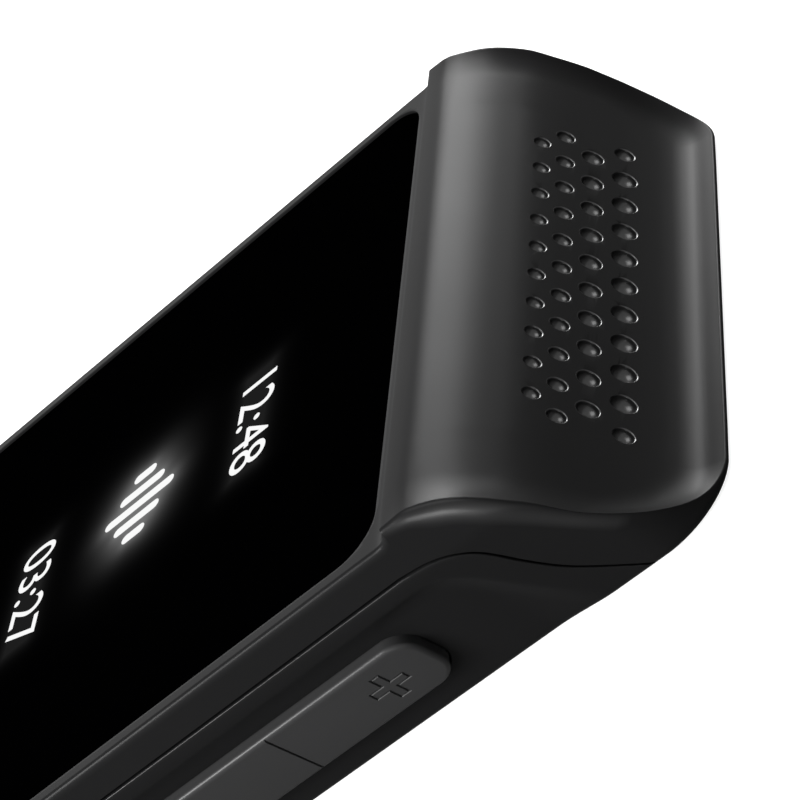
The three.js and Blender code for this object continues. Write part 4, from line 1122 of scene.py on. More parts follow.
@dataclass
class SideKey:
    """A key in one of the slanted sides: its cap, its flange and the nubs behind it."""

    name: str
    body: str
    length: float
    place: float
    side: int = 1
    across: float = KEY_ACROSS
    width: float = 6.1
    corner: float = 2.1
    rise: float = 0.85
    edge: float = 0.42
    edge_steps: int = 9
    flange: tuple = (-2.6, -2.0, 0.6)
    cut: tuple = (-2.2, 2)
    line_round: float = 0.025
    line_shares: tuple = (0.35, 0.5, 0.62)
    nub: tuple = (-3.1, 1.8)
    nubs: tuple = ()
    pivot: float = 0.0

    @property
    def frame(self) -> Matrix:
        """Gives the key's place: its X points out of the side, its Y along the body."""
        turn = LEAN if self.side > 0 else math.pi - LEAN
        place = Matrix.Translation((self.side * self.across, self.place, KEY_LEVEL))
        return place @ Matrix.Rotation(turn, 4, "Y")

    def outline(self, grow: float, level: float) -> Ring:
        """Gives the cap's outline, grown, at a level out of the side."""
        size = (self.length, self.width, self.corner)
        return lifted(grown(size, grow, steps=12), level, "x")

    def slot(self, gap: float) -> Piece:
        """Models the tool that cuts the key's slot, with a gap round the cap."""
        return placed(ring_skin("slot", [self.outline(gap, x) for x in self.cut]), self.frame)

    def engraved(self, outline: Ring, middle: tuple, width: float, depth: float) -> Piece:
        """Models the tool that engraves a line round an outline.

        Args:
            outline: the outline's points, as Y and Z, with square corners.
            middle: its middle on the cap.
            width: the line's width.
            depth: the line's depth.

        Returns:
            The tool, in the key's own frame.
        """
        before, after = np.roll(outline, 1, 0), np.roll(outline, -1, 0)
        arrive = (outline - before) / np.linalg.norm(outline - before, axis=1)[:, None]
        leave = (after - outline) / np.linalg.norm(after - outline, axis=1)[:, None]
        outward = np.stack([arrive[:, 1] + leave[:, 1], -arrive[:, 0] - leave[:, 0]], -1)
        top, (low, middle_share, high) = self.rise, self.line_shares
        half = [
            (top - depth, low), (top - self.line_round, middle_share), (top + TOUCH, high),
            (top + 1, high),
        ]
        profile = [*half, *((level, -share) for level, share in half[::-1]), half[0]]
        return ring_skin("line", [
            lifted(outline + np.array(middle) + outward * width * share, level, "x")
            for level, share in profile
        ], first=False, last=False)

    def build(self, tools: Sequence[Piece] = ()) -> Piece:
        """Models the key.

        Args:
            tools: solids in the key's own frame that are cut from it.

        Returns:
            The finished key.
        """
        inner, outer, grow = self.flange
        rings = [self.outline(grow, inner), self.outline(grow, outer), self.outline(0, outer)]
        for sine, cosine in quarter(self.edge_steps):
            level = self.rise - self.edge * (1 - sine)
            rings.append(self.outline(-self.edge * (1 - cosine), level))
        polish = [math.sin(math.pi * step / self.edge_steps) for step in range(self.edge_steps + 1)]
        piece = ring_skin(self.name + "_cap", rings, polish=[0.0] * 3 + polish)
        stubs = [(y, self.nub[0]) for y in self.nubs]
        if self.pivot:
            stubs.append((0, self.pivot))
        for y, tip in stubs:
            stub = circle(self.nub[1], steps=20) + (y, 0)
            rings = [lifted(stub, x, "x") for x in (tip, inner + OVERLAP)]
            carve(piece, ring_skin("nub", rings), "UNION")
        for tool in tools:
            carve(piece, tool)
        placed(piece, self.frame)
        return finished(piece, self.body, [self.name])


@dataclass
class Keys:
    """The volume rocker, the power key and the talk key."""

    rocker: SideKey = field(default_factory=lambda: SideKey(
        "volume_rocker", "rocker", 27.2, 29.8, nubs=(-9.792, 9.792), pivot=-4.55
    ))
    power: SideKey = field(default_factory=lambda: SideKey(
        "power_key", "power", 11, 2.3, nubs=(0,)
    ))
    talk: SideKey = field(default_factory=lambda: SideKey(
        "talk_key", "talk", 24, 29.8, side=-1, nubs=(0,)
    ))
    sign_place: float = 9.4
    arm: float = 1.55
    stroke: float = 0.38
    line: float = 0.17
    depth: float = 0.11
    groove: tuple = (0.13, 0.02)
    groove_tool: tuple = (0.5, 0.2, 4.0)

    def plus(self) -> Ring:
        """Gives a plus sign's outline, counterclockwise."""
        a, b = self.arm, self.stroke
        return np.array([
            (a, -b), (a, b), (b, b), (b, a), (-b, a), (-b, b),
            (-a, b), (-a, -b), (-b, -b), (-b, -a), (b, -a), (b, -b),
        ])

    def minus(self) -> Ring:
        """Gives a minus sign's outline, counterclockwise."""
        a, b = self.arm, self.stroke
        return np.array([(a, -b), (a, b), (-a, b), (-a, -b)])

    def divider(self) -> Piece:
        """Models the tool for the rocker's dividing groove."""
        top, half, (deep, soft) = self.rocker.rise, self.line / 2, self.groove
        high, wide, long = self.groove_tool
        side = [
            (top + high, -wide), (top, -half - soft), (top - soft, -half), (top - deep, -half / 2),
        ]
        bound = np.array(side + [(level, -y) for level, y in side[::-1]])
        return ring_skin("divider", [lifted(bound, z) for z in (-long, long)])

    def slots(self, gap: float) -> list[Piece]:
        """Models the tools for the keys' slots."""
        return [key.slot(gap) for key in (self.rocker, self.power, self.talk)]

    def build(self) -> list[Piece]:
        """Models the three keys.

        Returns:
            The finished keys.
        """
        tools = [
            self.rocker.engraved(self.plus(), (self.sign_place, 0), self.line, self.depth),
            self.rocker.engraved(self.minus(), (-self.sign_place, 0), self.line, self.depth),
            self.divider(),
        ]
        return [self.rocker.build(tools), self.power.build(), self.talk.build()]


@dataclass
class CardTray:
    """The card tray in the left side."""

    place: float = 8.1
    level: float = 6.72
    head: tuple = (14.4, 2.2, 0.95)
    plate: tuple = (11.4, 0.8, 17.0)
    pocket: float = 8.8
    pocket_share: float = 0.6
    inner: float = -26.62
    outer: float = -34
    slot_outer: float = -40
    pin_outer: float = -32
    edge: float = 0.09
    pin: tuple = (0.9, 5.4)
    overlap: float = 0.3

    def outline(self, grow: float) -> Ring:
        """Gives the head's outline, grown."""
        return grown(self.head, grow) + np.array([self.place, self.level])

    def slot(self, gap: float) -> Piece:
        """Models the tool that cuts the head's opening, with a gap round the head."""
        ends = (self.slot_outer, self.inner + gap)
        return ring_skin("slot", [lifted(self.outline(gap), x, "x") for x in ends])

    def build(self) -> Piece:
        """Models the tray: head flush with the side, eject hole, plate and card pocket."""
        face = Vector((-math.cos(LEAN), 0, -math.sin(LEAN)))
        surface = Vector((-KEY_ACROSS, self.place, KEY_LEVEL))
        head = [lifted(self.outline(0), x, "x") for x in (self.outer, self.inner)]
        piece = ring_skin("card_drawer", head)
        edit(piece, "FACE")
        bpy.ops.mesh.select_all(action="SELECT")
        bpy.ops.mesh.bisect(
            plane_co=surface, plane_no=face, use_fill=True, clear_outer=True, clear_inner=False
        )
        bpy.ops.mesh.select_all(action="DESELECT")
        bpy.ops.mesh.select_mode(type="EDGE")
        pick(piece, "edges", lambda edge: all(
            abs((vert.co - surface).dot(face)) < TOUCH for vert in edge.verts
        ))
        bpy.ops.mesh.bevel(offset=self.edge, segments=3, affect="EDGES", clamp_overlap=True)
        bpy.ops.object.mode_set(mode="OBJECT")
        width, thick, depth = self.plate
        tip, low = surface.x + depth, self.inner - self.overlap
        plate = box("plate", ((tip + low) / 2, self.place, self.level), (tip - low, width, thick))
        edit(plate, "FACE")
        pick(plate, "faces", lambda side: side.normal.z > UPWARD)
        bpy.ops.mesh.inset(thickness=(width - self.pocket) / 2, depth=0)
        sink = (0, 0, -thick * self.pocket_share)
        bpy.ops.mesh.extrude_region_move(TRANSFORM_OT_translate={"value": sink})
        bpy.ops.object.mode_set(mode="OBJECT")
        carve(piece, plate, "UNION")
        size, along = self.pin
        bore = circle(size, steps=20) + np.array([self.place - along, self.level])
        ends = (self.pin_outer, self.inner - OVERLAP)
        carve(piece, ring_skin("pin", [lifted(bore, x, "x") for x in ends]))
        return finished(piece, "tray", ["card_tray"])


@dataclass
class Socket:
    """The charging socket and the microphone holes in the chin end."""

    level: float = 7.8
    mouth: float = -64.64
    size: tuple = (8.94, 3.2, 1.536)
    depth: float = 7.4
    wall: float = 0.3
    lip: float = 0.08
    lead_in: tuple = ((0.22, 8), (0.22, -0.3), (0.3, -0.46), (0.5, -0.62), (0.5, -4))
    tongue: tuple = (6.7, 0.7, 4.5)
    tongue_corner: float = 0.2
    tongue_tip: tuple = (0.12, 0.15)
    contacts: int = 12
    pitch: float = 0.5
    contact: tuple = (0.26, 2.8, 0.06)
    contact_place: float = 1.9
    contact_edge: float = 0.02
    microphones: tuple = (14.0, 6.7, 1.1)
    bore: tuple = ((0, -60), (0, -65.1), (0.14, -65.3), (0.14, -70))

    def skin(
        self, name: str, outline: Callable[[float], Ring], profile: Sequence[tuple[float, float]]
    ) -> Piece:
        """Models a form along Y.

        Args:
            name: the name of the piece.
            outline: gives the form's outline, grown, as X and Z.
            profile: pairs of how far the outline is grown and a place along Y.

        Returns:
            The new object.
        """
        return ring_skin(name, [lifted(outline(grow), y, "y") for grow, y in profile])

    def outline(self, grow: float) -> Ring:
        """Gives the shell's outline, grown."""
        return grown(self.size, grow, steps=12) + np.array([0, self.level])

    def tools(self) -> list[Piece]:
        """Models the tools for the opening and the microphone holes."""
        opening = [(grow, self.mouth + y) for grow, y in self.lead_in]
        made = [self.skin("opening", self.outline, opening)]
        place, level, size = self.microphones
        for side in (-1, 1):
            middle = np.array([side * place, level])
            made.append(self.skin(
                "bore", lambda grow: circle(size + 2 * grow, steps=24) + middle, self.bore
            ))
        return made

    def build(self) -> list[Piece]:
        """Models the shell, the tongue and its contacts."""
        wall, mouth, lip = self.wall, self.mouth, self.lip
        back = mouth + self.depth
        shell = self.skin("socket_shell", self.outline, [
            (0, back), (0, mouth + lip), (-lip, mouth), (lip - wall, mouth),
            (-wall, mouth + lip), (-wall, back - wall),
        ])
        finished(shell, "case", ["usb_socket_shell"])
        width, thick, depth = self.tongue
        low = back - wall - depth
        inset, taper = self.tongue_tip
        tongue = self.skin("socket_tongue", lambda grow: rounded(
            width + 2 * grow, thick + 2 * grow, self.tongue_corner, 4
        ) + np.array([0, self.level]), [(-inset, low), (0, low + taper), (0, back - wall)])
        finished(tongue, "case", ["usb_socket_tongue"])
        strips = []
        for index in range(self.contacts):
            for side in (-1, 1):
                x = (index - (self.contacts - 1) / 2) * self.pitch
                z = self.level + side * thick / 2
                strips.append(box("contact", (x, low + self.contact_place, z), self.contact))
                edit(strips[-1], "EDGE")
                bpy.ops.mesh.select_all(action="SELECT")
                bpy.ops.mesh.bevel(offset=self.contact_edge, segments=1)
                bpy.ops.object.mode_set(mode="OBJECT")
        contacts = finished(join(strips, "socket_contacts"), "case")
        return [shell, tongue, contacts]


@dataclass
class Display:
    """The cover glass and what glows under it."""

    form: GlassForm = field(default_factory=GlassForm)
    edge: float = 0.1
    upper: tuple = (0.6, 31.4, 5.6)
    middle: tuple = (-0.4, 18.45)
    lower: tuple = (0.1, 5.3, 5.6)
    thick: float = 0.016
    lift: float = TOUCH
    bars: tuple = (2.6, 5.2, 8.0, 5.2, 2.6)
    bar_pitch: float = 1.9
    bar_width: float = 1.05

    def build(self) -> tuple[Piece, list[Piece]]:
        """Models the glass, the figures and the bars.

        Returns:
            The glass, and the glowing pieces.
        """
        form, edge = self.form, self.edge
        profile = [(0, form.bottom)]
        for sine, cosine in quarter(3):
            profile.append((-edge * (1 - cosine), form.top - edge * (1 - sine)))
        rings = [lifted(form.outline(grow, steps=14), level) for grow, level in profile]
        glass = finished(ring_skin("cover_glass", rings), "case", ["display_glass"])
        rows = (("upper_figures", "12:48", self.upper), ("lower_figures", "03:27", self.lower))
        return glass, [*(self.figures(*row) for row in rows), self.wave()]

    def figures(self, name: str, digits: str, place: tuple) -> Piece:
        """Models a row of plain digits on the glass."""
        rest_all()
        bpy.ops.object.text_add()
        text = bpy.context.object
        text.data.body = digits
        text.data.align_x, text.data.align_y = "CENTER", "CENTER"
        text.data.size = place[2]
        text.data.extrude = self.thick / 2
        bpy.ops.object.convert(target="MESH")
        piece = named(name)
        edit(piece)
        turn_out(10 * WELD)
        level = self.form.top + self.lift + self.thick / 2
        placed(piece, Matrix.Translation((place[0], place[1], level)))
        return finished(piece, "case")

    def bar_places(self) -> list[tuple[float, float]]:
        """Lists the place along X and the height of each bar."""
        first = self.middle[0] - (len(self.bars) - 1) / 2 * self.bar_pitch
        return [(first + index * self.bar_pitch, height) for index, height in enumerate(self.bars)]

    def wave(self) -> Piece:
        """Models a row of round-ended bars, a plain sign for sound."""
        made, width = [], self.bar_width
        for x, height in self.bar_places():
            flat = rounded(width, height, width / 2 - TOUCH, steps=6)
            flat = flat + np.array([x, self.middle[1]])
            levels = (self.form.top + self.lift, self.form.top + self.lift + self.thick)
            made.append(ring_skin("bar", [lifted(flat, level) for level in levels]))
        return finished(join(made, "wave_bars"), "case")


@dataclass(frozen=True)
class Viewpoint:
    """The place and the lens from which the photograph was taken."""

    lens: float = 136.203
    sensor: float = 36
    clip: tuple = (0.01, 20)
    place: tuple = (184.10, 143.13, 94.97)
    right: tuple = (-0.06184, 0.70473, -0.70681)
    up: tuple = (-0.58468, 0.54846, 0.59796)

    def build(self) -> None:
        """Places the scene's camera."""
        data = bpy.data.cameras.new("camera")
        data.sensor_width, data.lens = self.sensor, self.lens
        data.clip_start, data.clip_end = self.clip
        camera = bpy.data.objects.new("camera", data)
        bpy.context.scene.collection.objects.link(camera)
        right, up = Vector(self.right), Vector(self.up)
        turn = Matrix((right, up, right.cross(up))).transposed().to_4x4()
        camera.matrix_world = Matrix.Translation(Vector(self.place) * MM) @ turn
        bpy.context.scene.camera = camera


# Finishes


class Tree:
    """A node tree with short calls to add and link nodes."""

    def __init__(self, tree: bpy.types.NodeTree, empty: bool = True) -> None:
        """Takes the tree, and empties it unless its nodes are kept."""
        self.tree = tree
        if empty:
            tree.nodes.clear()

    def add(self, kind: str, **settings: object) -> bpy.types.Node:
        """Adds a node.

        Args:
            kind: the node type.
            settings: its properties; a key that starts with in_ sets or links an input.

        Returns:
            The node.
        """
        node = self.tree.nodes.new(kind)
        for key, value in settings.items():
            if not key.startswith("in_"):
                setattr(node, key, value)
        for key, value in settings.items():
            if key.startswith("in_"):
                name = key[3:].replace("_", " ")
                socket = node.inputs[int(name)] if name.isdigit() else node.inputs[name]
                self.feed(socket, value)
        return node

    def feed(self, socket: bpy.types.NodeSocket, value: object) -> None:
        """Sets an input to a value, or links it to an output."""
        if isinstance(value, bpy.types.NodeSocket):
            self.tree.links.new(value, socket)
        else:
            socket.default_value = value

    def math(self, operation: str, a: object, b: object = 0.0) -> bpy.types.NodeSocket:
        """Adds a Math node and returns its output."""
        return self.add("ShaderNodeMath", operation=operation, in_0=a, in_1=b).outputs[0]

    def vector(self, operation: str, a: object, b: object = (0, 0, 0)) -> bpy.types.NodeSocket:
        """Adds a Vector Math node and returns its output."""
        node = self.add("ShaderNodeVectorMath", operation=operation, in_0=a, in_1=b)
        return node.outputs["Value" if operation == "LENGTH" else "Vector"]

    def noise(self, place: object, scale: object, detail: float = 2.0) -> bpy.types.NodeSocket:
        """Adds a Noise Texture node and returns its output."""
        return self.add(
            "ShaderNodeTexNoise", in_Vector=place, in_Scale=scale, in_Detail=detail
        ).outputs[0]

    def grey(self, value: object) -> bpy.types.NodeSocket:
        """Turns a number into a grey colour."""
        return self.add("ShaderNodeCombineColor", in_0=value, in_1=value, in_2=value).outputs[0]

    def show(self, shader: bpy.types.Node, kind: str = "Material") -> None:
        """Leads a shader to the output of a material or a world."""
        out = self.add("ShaderNodeOutput" + kind)
        self.feed(out.inputs["Surface"], shader.outputs[0])


def new_group(
    name: str, inputs: Sequence[tuple], outputs: Sequence[str]
) -> tuple[Tree, dict, bpy.types.Node]:
    """Starts a shader node group.

    Args:
        name: its name.
        inputs: name, whether it is a vector, and default value of each input.
        outputs: the names of its outputs, which are all numbers.

    Returns:
        The tree, its inputs by name, and its output node.
    """
    group = bpy.data.node_groups.new(name, "ShaderNodeTree")
    tree, number = Tree(group), "NodeSocketFloat"
    for label, is_vector, value in inputs:
        kind = "NodeSocketVector" if is_vector else number
        socket = group.interface.new_socket(name=label, in_out="INPUT", socket_type=kind)
        socket.default_value = value
    for label in outputs:
        group.interface.new_socket(name=label, in_out="OUTPUT", socket_type=number)
    start = tree.add("NodeGroupInput")
    return tree, {s.name: s for s in start.outputs if s.name}, tree.add("NodeGroupOutput")


class Texture(Enum):
    """The surface textures that a finish can have, each with its node group's name."""

    GRAIN = "moulded_grain"
    DRAWN = "drawn_metal"
    WOVEN = "woven_mesh"
    TRACKS = "board_tracks"


def texture_group(texture: Texture) -> bpy.types.ShaderNodeTree:
    """Gives a texture's node group, built at its first use.

    Args:
        texture: the texture.

    Returns:
        The group, with a height and a drift of tone and gloss.
    """
    made = bpy.data.node_groups.get(texture.value)
    if made:
        return made
    tree, ins, out = new_group(
        texture.value,
        [("Vector", True, (0, 0, 0)), ("Grain Scale", False, 8000.0), ("Drift Scale", False, 60.0)],
        ["Height", "Drift"],
    )
    place, grain = ins["Vector"], ins["Grain Scale"]
    if texture is Texture.GRAIN:
        pit_share, drift_detail = 0.6, 3.0
        cells = tree.add("ShaderNodeTexVoronoi", in_Vector=place, in_Scale=grain)
        pits = tree.math("MULTIPLY", cells.outputs["Distance"], pit_share)
        height = tree.math("ADD", tree.noise(place, grain), pits)
        drift = tree.noise(place, ins["Drift Scale"], drift_detail)
    elif texture is Texture.DRAWN:
        stretch = (0.04, 1, 1)
        height = tree.noise(tree.vector("MULTIPLY", place, stretch), grain)
        drift = tree.noise(place, ins["Drift Scale"])
    elif texture is Texture.WOVEN:
        parts = tree.add("ShaderNodeSeparateXYZ", in_0=place)
        turns = [tree.math("MULTIPLY", parts.outputs[axis], grain) for axis in ("X", "Y")]
        waves = [tree.math("ABSOLUTE", tree.math("SINE", turn)) for turn in turns]
        height, drift = tree.math("MAXIMUM", *waves), tree.math("MULTIPLY", *waves)
    else:
        lines_per_cell, gap_share = 6.0, 0.55
        cells = tree.add(
            "ShaderNodeTexVoronoi", distance="CHEBYCHEV", in_Vector=place, in_Scale=grain
        )
        steps = tree.math("MULTIPLY", cells.outputs["Distance"], lines_per_cell)
        lines = tree.math("PINGPONG", steps, 1.0)
        height = drift = tree.math("GREATER_THAN", lines, gap_share)
    tree.feed(out.inputs["Height"], height)
    tree.feed(out.inputs["Drift"], drift)
    return tree.tree


def glow_group() -> bpy.types.ShaderNodeTree:
    """Builds the group for the painted glow round a glowing bar, softer with distance."""
    nowhere = (0, 0, 0)
    tree, ins, out = new_group(
        "spread_light",
        [("Vector", True, nowhere), ("Middle", True, nowhere), ("Half Size", True, nowhere),
         ("Reach", False, 0.001), ("Peak", False, 0.3)],
        ["Light"],
    )
    apart = tree.vector("ABSOLUTE", tree.vector("SUBTRACT", ins["Vector"], ins["Middle"]))
    past = tree.vector("MAXIMUM", tree.vector("SUBTRACT", apart, ins["Half Size"]), nowhere)
    far = tree.math("DIVIDE", tree.vector("LENGTH", past), ins["Reach"])
    fall = tree.math("EXPONENT", tree.math("MULTIPLY", far, -1.0))
    tree.feed(out.inputs["Light"], tree.math("MULTIPLY", fall, ins["Peak"]))
    return tree.tree


@dataclass(frozen=True)
class Finish:
    """A finish: colours, gloss and surface texture."""

    name: str
    colour: tuple
    roughness: float
    second: tuple = ()
    texture: Texture = Texture.GRAIN
    grain: float = 8000.0
    drift: float = 60.0
    depth: float = 0.002
    gloss_drift: float = 0.05
    metallic: float = 0.0
    specular: float = 0.5
    polish: float = 0.0
    coat_roughness: float = 0.3
    fade: float = 0.8

    def material(self) -> bpy.types.Material:
        """Gives the finish's material, built at its first use."""
        made = bpy.data.materials.get(self.name)
        if made:
            return made
        made = bpy.data.materials.new(self.name)
        made.use_nodes = True
        tree = Tree(made.node_tree)
        place = tree.add("ShaderNodeTexCoord").outputs["Object"]
        texture = tree.add(
            "ShaderNodeGroup", node_tree=texture_group(self.texture), in_Vector=place,
            in_Grain_Scale=self.grain, in_Drift_Scale=self.drift,
        )
        drift = texture.outputs["Drift"]
        other = self.second or tuple(c * self.fade for c in self.colour)
        colour = tree.add(
            "ShaderNodeMix", data_type="RGBA", in_0=drift, in_6=(*self.colour, 1), in_7=(*other, 1)
        ).outputs[2]
        rough = tree.add(
            "ShaderNodeMapRange", in_Value=drift, in_To_Min=self.roughness - self.gloss_drift,
            in_To_Max=self.roughness + self.gloss_drift,
        ).outputs[0]
        bump = tree.add(
            "ShaderNodeBump", in_Height=texture.outputs["Height"], in_Distance=self.depth * MM,
            in_Strength=1.0,
        ).outputs[0]
        shine = tree.add("ShaderNodeAttribute", attribute_name="polish").outputs["Fac"]
        tree.show(tree.add(
            "ShaderNodeBsdfPrincipled", in_Base_Color=colour, in_Roughness=rough, in_Normal=bump,
            in_Metallic=self.metallic, in_Specular_IOR_Level=self.specular,
            in_Coat_Weight=tree.math("MULTIPLY", shine, self.polish),
            in_Coat_Roughness=self.coat_roughness,
        ))
        return made


def dress(piece: Piece, material: bpy.types.Material) -> None:
    """Gives a piece one material."""
    piece.data.materials.clear()
    piece.data.materials.append(material)


DRAWN, WOVEN, TRACKS = Texture.DRAWN, Texture.WOVEN, Texture.TRACKS
SLOT_FINISHES = {
    "housing": Finish(
        "satin_black", (0.0044, 0.0044, 0.0045), 0.34, depth=0.001, specular=0.03, polish=1.0
    ),
    "key": Finish(
        "key_black", (0.0125, 0.0125, 0.0127), 0.42, depth=0.001, specular=0.12, polish=0.14
    ),
    "screen": Finish("cover_glass", (0.0001, 0.0001, 0.00012), 0.08, depth=0.0, specular=0.0),
    "window": Finish(
        "lens_window", (0.004, 0.004, 0.006), 0.05, (0.006, 0.006, 0.01), depth=0.0,
        gloss_drift=0.01,
    ),
    "flash": Finish(
        "flash_lens", (0.86, 0.84, 0.76), 0.3, (0.9, 0.89, 0.84), grain=3000, depth=0.01
    ),
    "adhesive": Finish(
        "foam_tape", (0.02,) * 3, 0.95, (0.05,) * 3, grain=5000, depth=0.02, specular=0.1
    ),
    "panel": Finish("display_back", (0.2, 0.21, 0.22), 0.35, (), DRAWN, grain=1500, metallic=0.8),
    "alloy": Finish(
        "cast_alloy", (0.48, 0.49, 0.5), 0.5, (0.4, 0.41, 0.42), grain=3500, depth=0.01, metallic=1
    ),
    "steel": Finish(
        "drawn_steel", (0.58, 0.59, 0.6), 0.3, (), DRAWN, 4000, 300, gloss_drift=0.08, metallic=1
    ),
    "board": Finish(
        "circuit_board", (0.006, 0.035, 0.02), 0.35, (0.02, 0.085, 0.045), TRACKS, depth=0.012
    ),
    "film": Finish(
        "amber_film", (0.3, 0.12, 0.02), 0.3, (0.24, 0.08, 0.015), grain=2500, depth=0.004
    ),
    "cell": Finish(
        "cell_foil", (0.5, 0.51, 0.53), 0.42, (0.42, 0.43, 0.46), grain=1800, depth=0.01,
        metallic=0.7,
    ),
    "plastic": Finish("matt_plastic", (0.02, 0.02, 0.021), 0.5, specular=0.4),
    "chip": Finish(
        "chip_resin", (0.012, 0.012, 0.013), 0.62, (0.02, 0.02, 0.022), grain=9000, depth=0.004
    ),
    "rubber": Finish(
        "soft_rubber", (0.016, 0.016, 0.017), 0.85, (0.024, 0.024, 0.025), grain=6000, depth=0.01
    ),
    "copper": Finish(
        "plated_copper", (0.72, 0.36, 0.2), 0.32, (0.62, 0.28, 0.15), DRAWN, metallic=1
    ),
}
GOLD = Finish("contact_gold", (0.83, 0.6, 0.24), 0.25, (0.76, 0.5, 0.2), DRAWN, metallic=1)
NODE_FINISHES = {
    "speaker_gauze": Finish(
        "woven_gauze", (0.05, 0.05, 0.052), 0.45, (0.006,) * 3, WOVEN, depth=0.05, metallic=1
    ),
}


@dataclass(frozen=True)
class Glowing:
    """The display's light: white figures, and a painted glow that the glass emits round them."""

    strength: float = 1.0
    dot_scale: float = 9000.0
    dimmest: float = 0.92
    roughness: float = 0.3
    bar_light: tuple = (0.2, 0.8, 0.16)
    wave_light: tuple = ((3.4, 2.0), 1.7, 0.03)
    figure_light: tuple = ((1.15, 0.25), 0.8, 0.012)
    through: float = 2

    def material(self) -> bpy.types.Material:
        """Builds the material of the figures."""
        made = bpy.data.materials.new("display_light")
        made.use_nodes = True
        tree = Tree(made.node_tree)
        dots = tree.noise(tree.add("ShaderNodeTexCoord").outputs["Object"], self.dot_scale)
        light = tree.add("ShaderNodeMapRange", in_Value=dots, in_To_Min=self.dimmest, in_To_Max=1.0)
        tree.show(tree.add(
            "ShaderNodeBsdfPrincipled", in_Base_Color=(0, 0, 0, 1), in_Roughness=self.roughness,
            in_Specular_IOR_Level=0.0, in_Emission_Color=tree.grey(light.outputs[0]),
            in_Emission_Strength=self.strength,
        ))
        return made

    def spots(self, display: Display) -> list[tuple]:
        """Lists each painted glow: its middle, half its size, its reach and its peak."""
        share, reach, peak = self.bar_light
        width, y = display.bar_width, display.middle[1]
        made = [
            ((x, y), (width * share, height / 2 - width / 2), reach, peak)
            for x, height in display.bar_places()
        ]
        made.append((display.middle, *self.wave_light))
        shares, reach, peak = self.figure_light
        for x, y, size in (display.upper, display.lower):
            made.append(((x, y), (size * shares[0], size * shares[1]), reach, peak))
        return made

    def glass(self, display: Display) -> bpy.types.Material:
        """Builds the cover glass, which emits a painted glow round each figure and bar."""
        made = SLOT_FINISHES["screen"].material()
        tree = Tree(made.node_tree, empty=False)
        kinds = {node.type: node for node in made.node_tree.nodes}
        place, group, total = kinds["TEX_COORD"].outputs["Object"], glow_group(), None
        for middle, half, reach, peak in self.spots(display):
            light = tree.add(
                "ShaderNodeGroup", node_tree=group, in_Vector=place,
                in_Middle=Vector((*middle, display.form.top)) * MM,
                in_Half_Size=Vector((*half, self.through)) * MM,
                in_Reach=reach * MM, in_Peak=peak,
            ).outputs["Light"]
            total = light if total is None else tree.math("ADD", total, light)
        shader = kinds["BSDF_PRINCIPLED"]
        # painted glow: the glass's own emission stands in for light spread round the figures
        tree.feed(shader.inputs["Emission Color"], tree.grey(total))
        shader.inputs["Emission Strength"].default_value = self.strength
        return made


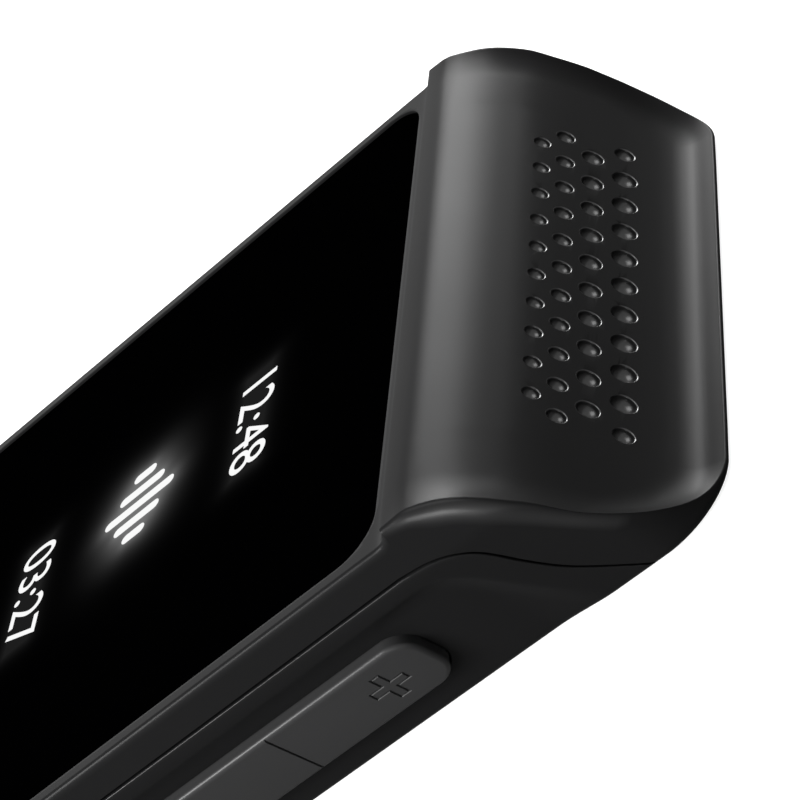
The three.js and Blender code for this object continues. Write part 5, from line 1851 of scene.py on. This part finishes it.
@dataclass
class Studio:
    """The floor, the lamps and the white background."""

    floor_size: float = 6.0
    floor_drop: float = 0.0001
    floor_colour: tuple = (0.3, 0.3, 0.3, 1)
    floor_dark: tuple = (0.1, 0.1, 0.1, 1)
    floor_lift: float = 0.88
    fill: float = 0.24
    distance: float = 0.62
    soft_only: tuple = ("key_softbox",)
    lamps: tuple = (
        ("hood_softbox", (-0.95, 0.05, 0.45), 0.2, 1.3),
        ("crest_softbox", (-0.81, 0.25, 0.45), 0.25, 2.7),
        ("key_softbox", (0.73, -0.45, 0.51), 0.4, 13.0),
        ("edge_softbox", (0.57, -0.54, 0.61), 0.13, 5.0),
        ("shoulder_softbox", (0.95, 0.02, 0.28), 0.15, 0.6),
        ("hole_softbox", (-0.05, 0.35, 0.92), 0.4, 2.4),
        ("side_softbox", (-0.81, -0.45, 0.38), 0.3, 0.12),
    )

    def build(self) -> None:
        """Builds the floor, the world and the lamps."""
        rest_all()
        bpy.ops.mesh.primitive_plane_add(size=self.floor_size, location=(0, 0, -self.floor_drop))
        floor = named("floor")
        bpy.ops.object.transform_apply(location=True)
        paint = bpy.data.materials.new("pale_floor")
        paint.use_nodes = True
        tree = Tree(paint.node_tree)
        colour = tree.add(
            "ShaderNodeMix", data_type="RGBA", in_6=self.floor_colour, in_7=self.floor_dark,
            in_0=tree.add("ShaderNodeLightPath").outputs["Is Glossy Ray"],
        ).outputs[2]
        matt = tree.add("ShaderNodeBsdfDiffuse", in_Color=colour)
        strength = self.shown(tree, self.floor_lift, 0.0, False)
        lift = tree.add("ShaderNodeEmission", in_Color=(1, 1, 1, 1), in_Strength=strength)
        tree.show(tree.add("ShaderNodeAddShader", in_0=matt.outputs[0], in_1=lift.outputs[0]))
        dress(floor, paint)
        world = bpy.data.worlds.new("white_room")
        world.use_nodes = True
        tree = Tree(world.node_tree)
        strength = self.shown(tree, 1.0, self.fill)
        tree.show(
            tree.add("ShaderNodeBackground", in_Color=(1, 1, 1, 1), in_Strength=strength), "World"
        )
        bpy.context.scene.world = world
        for lamp in self.lamps:
            self.light(*lamp)
        bpy.context.scene.view_settings.view_transform = "Standard"

    def light(self, name: str, direction: tuple, size: float, power: float) -> None:
        """Builds one lamp that faces the object.

        Args:
            name: the lamp's name.
            direction: from the object to the lamp.
            size: the length of its side, in metres.
            power: its power, in watts.
        """
        data = bpy.data.lights.new(name, "AREA")
        data.size, data.energy = size, power
        lamp = bpy.data.objects.new(name, data)
        bpy.context.scene.collection.objects.link(lamp)
        away = Vector(direction).normalized()
        turn = away.to_track_quat("Z", "Y").to_matrix().to_4x4()
        lamp.matrix_world = Matrix.Translation(away * self.distance) @ turn
        lamp.visible_glossy = name not in self.soft_only

    def shown(
        self, tree: Tree, seen: float, unseen: float, in_mirrors: bool = True
    ) -> bpy.types.NodeSocket:
        """Picks a strength for rays that show a surface, and another for the rest.

        Args:
            tree: the material's or the world's nodes.
            seen: the strength for camera and transmission rays.
            unseen: the strength for the rest.
            in_mirrors: counts glossy rays as rays that show it.

        Returns:
            The strength.
        """
        path = tree.add("ShaderNodeLightPath").outputs
        rays = path["Is Camera Ray"]
        if in_mirrors:
            rays = tree.math("MAXIMUM", rays, path["Is Glossy Ray"])
        rays = tree.math("MAXIMUM", rays, path["Is Transmission Ray"])
        return tree.add(
            "ShaderNodeMapRange", in_Value=rays, in_To_Min=unseen, in_To_Max=seen
        ).outputs[0]


def main() -> None:
    """Builds the scene in order."""
    logging.basicConfig(level=logging.INFO, format="%(message)s")
    known = {o.name for o in (*frame["nodes"].values(), *frame["bodies"].values())}
    for spare in [o for o in bpy.data.objects if o.name not in known]:
        bpy.data.objects.remove(spare)
    Viewpoint().build()
    housings, keys, tray, socket, display = Housings(), Keys(), CardTray(), Socket(), Display()
    tools = [*keys.slots(housings.key_gap), tray.slot(housings.key_gap), *socket.tools()]
    black, key_black = SLOT_FINISHES["housing"], SLOT_FINISHES["key"]
    made = [(housings.build_front(), black), (housings.build_rear(tools), black)]
    made += [(key, key_black) for key in keys.build()]
    made.append((tray.build(), black))
    made += zip(socket.build(), (SLOT_FINISHES["steel"], SLOT_FINISHES["plastic"], GOLD))
    for piece, finish in made:
        dress(piece, finish.material())
    glass, glowing = display.build()
    light = Glowing()
    dress(glass, light.glass(display))
    white = light.material()
    for piece in glowing:
        dress(piece, white)
    slots = {row["node"]: row["material_slot"] for row in frame["record"]["subparts"]}
    for name, node in frame["nodes"].items():
        finish = NODE_FINISHES.get(name, SLOT_FINISHES[slots[name]])
        dress(node, finish.material())
        LOG.info("%s: %s", name, finish.name)
    Studio().build()


if __name__ == "__main__":
    main()
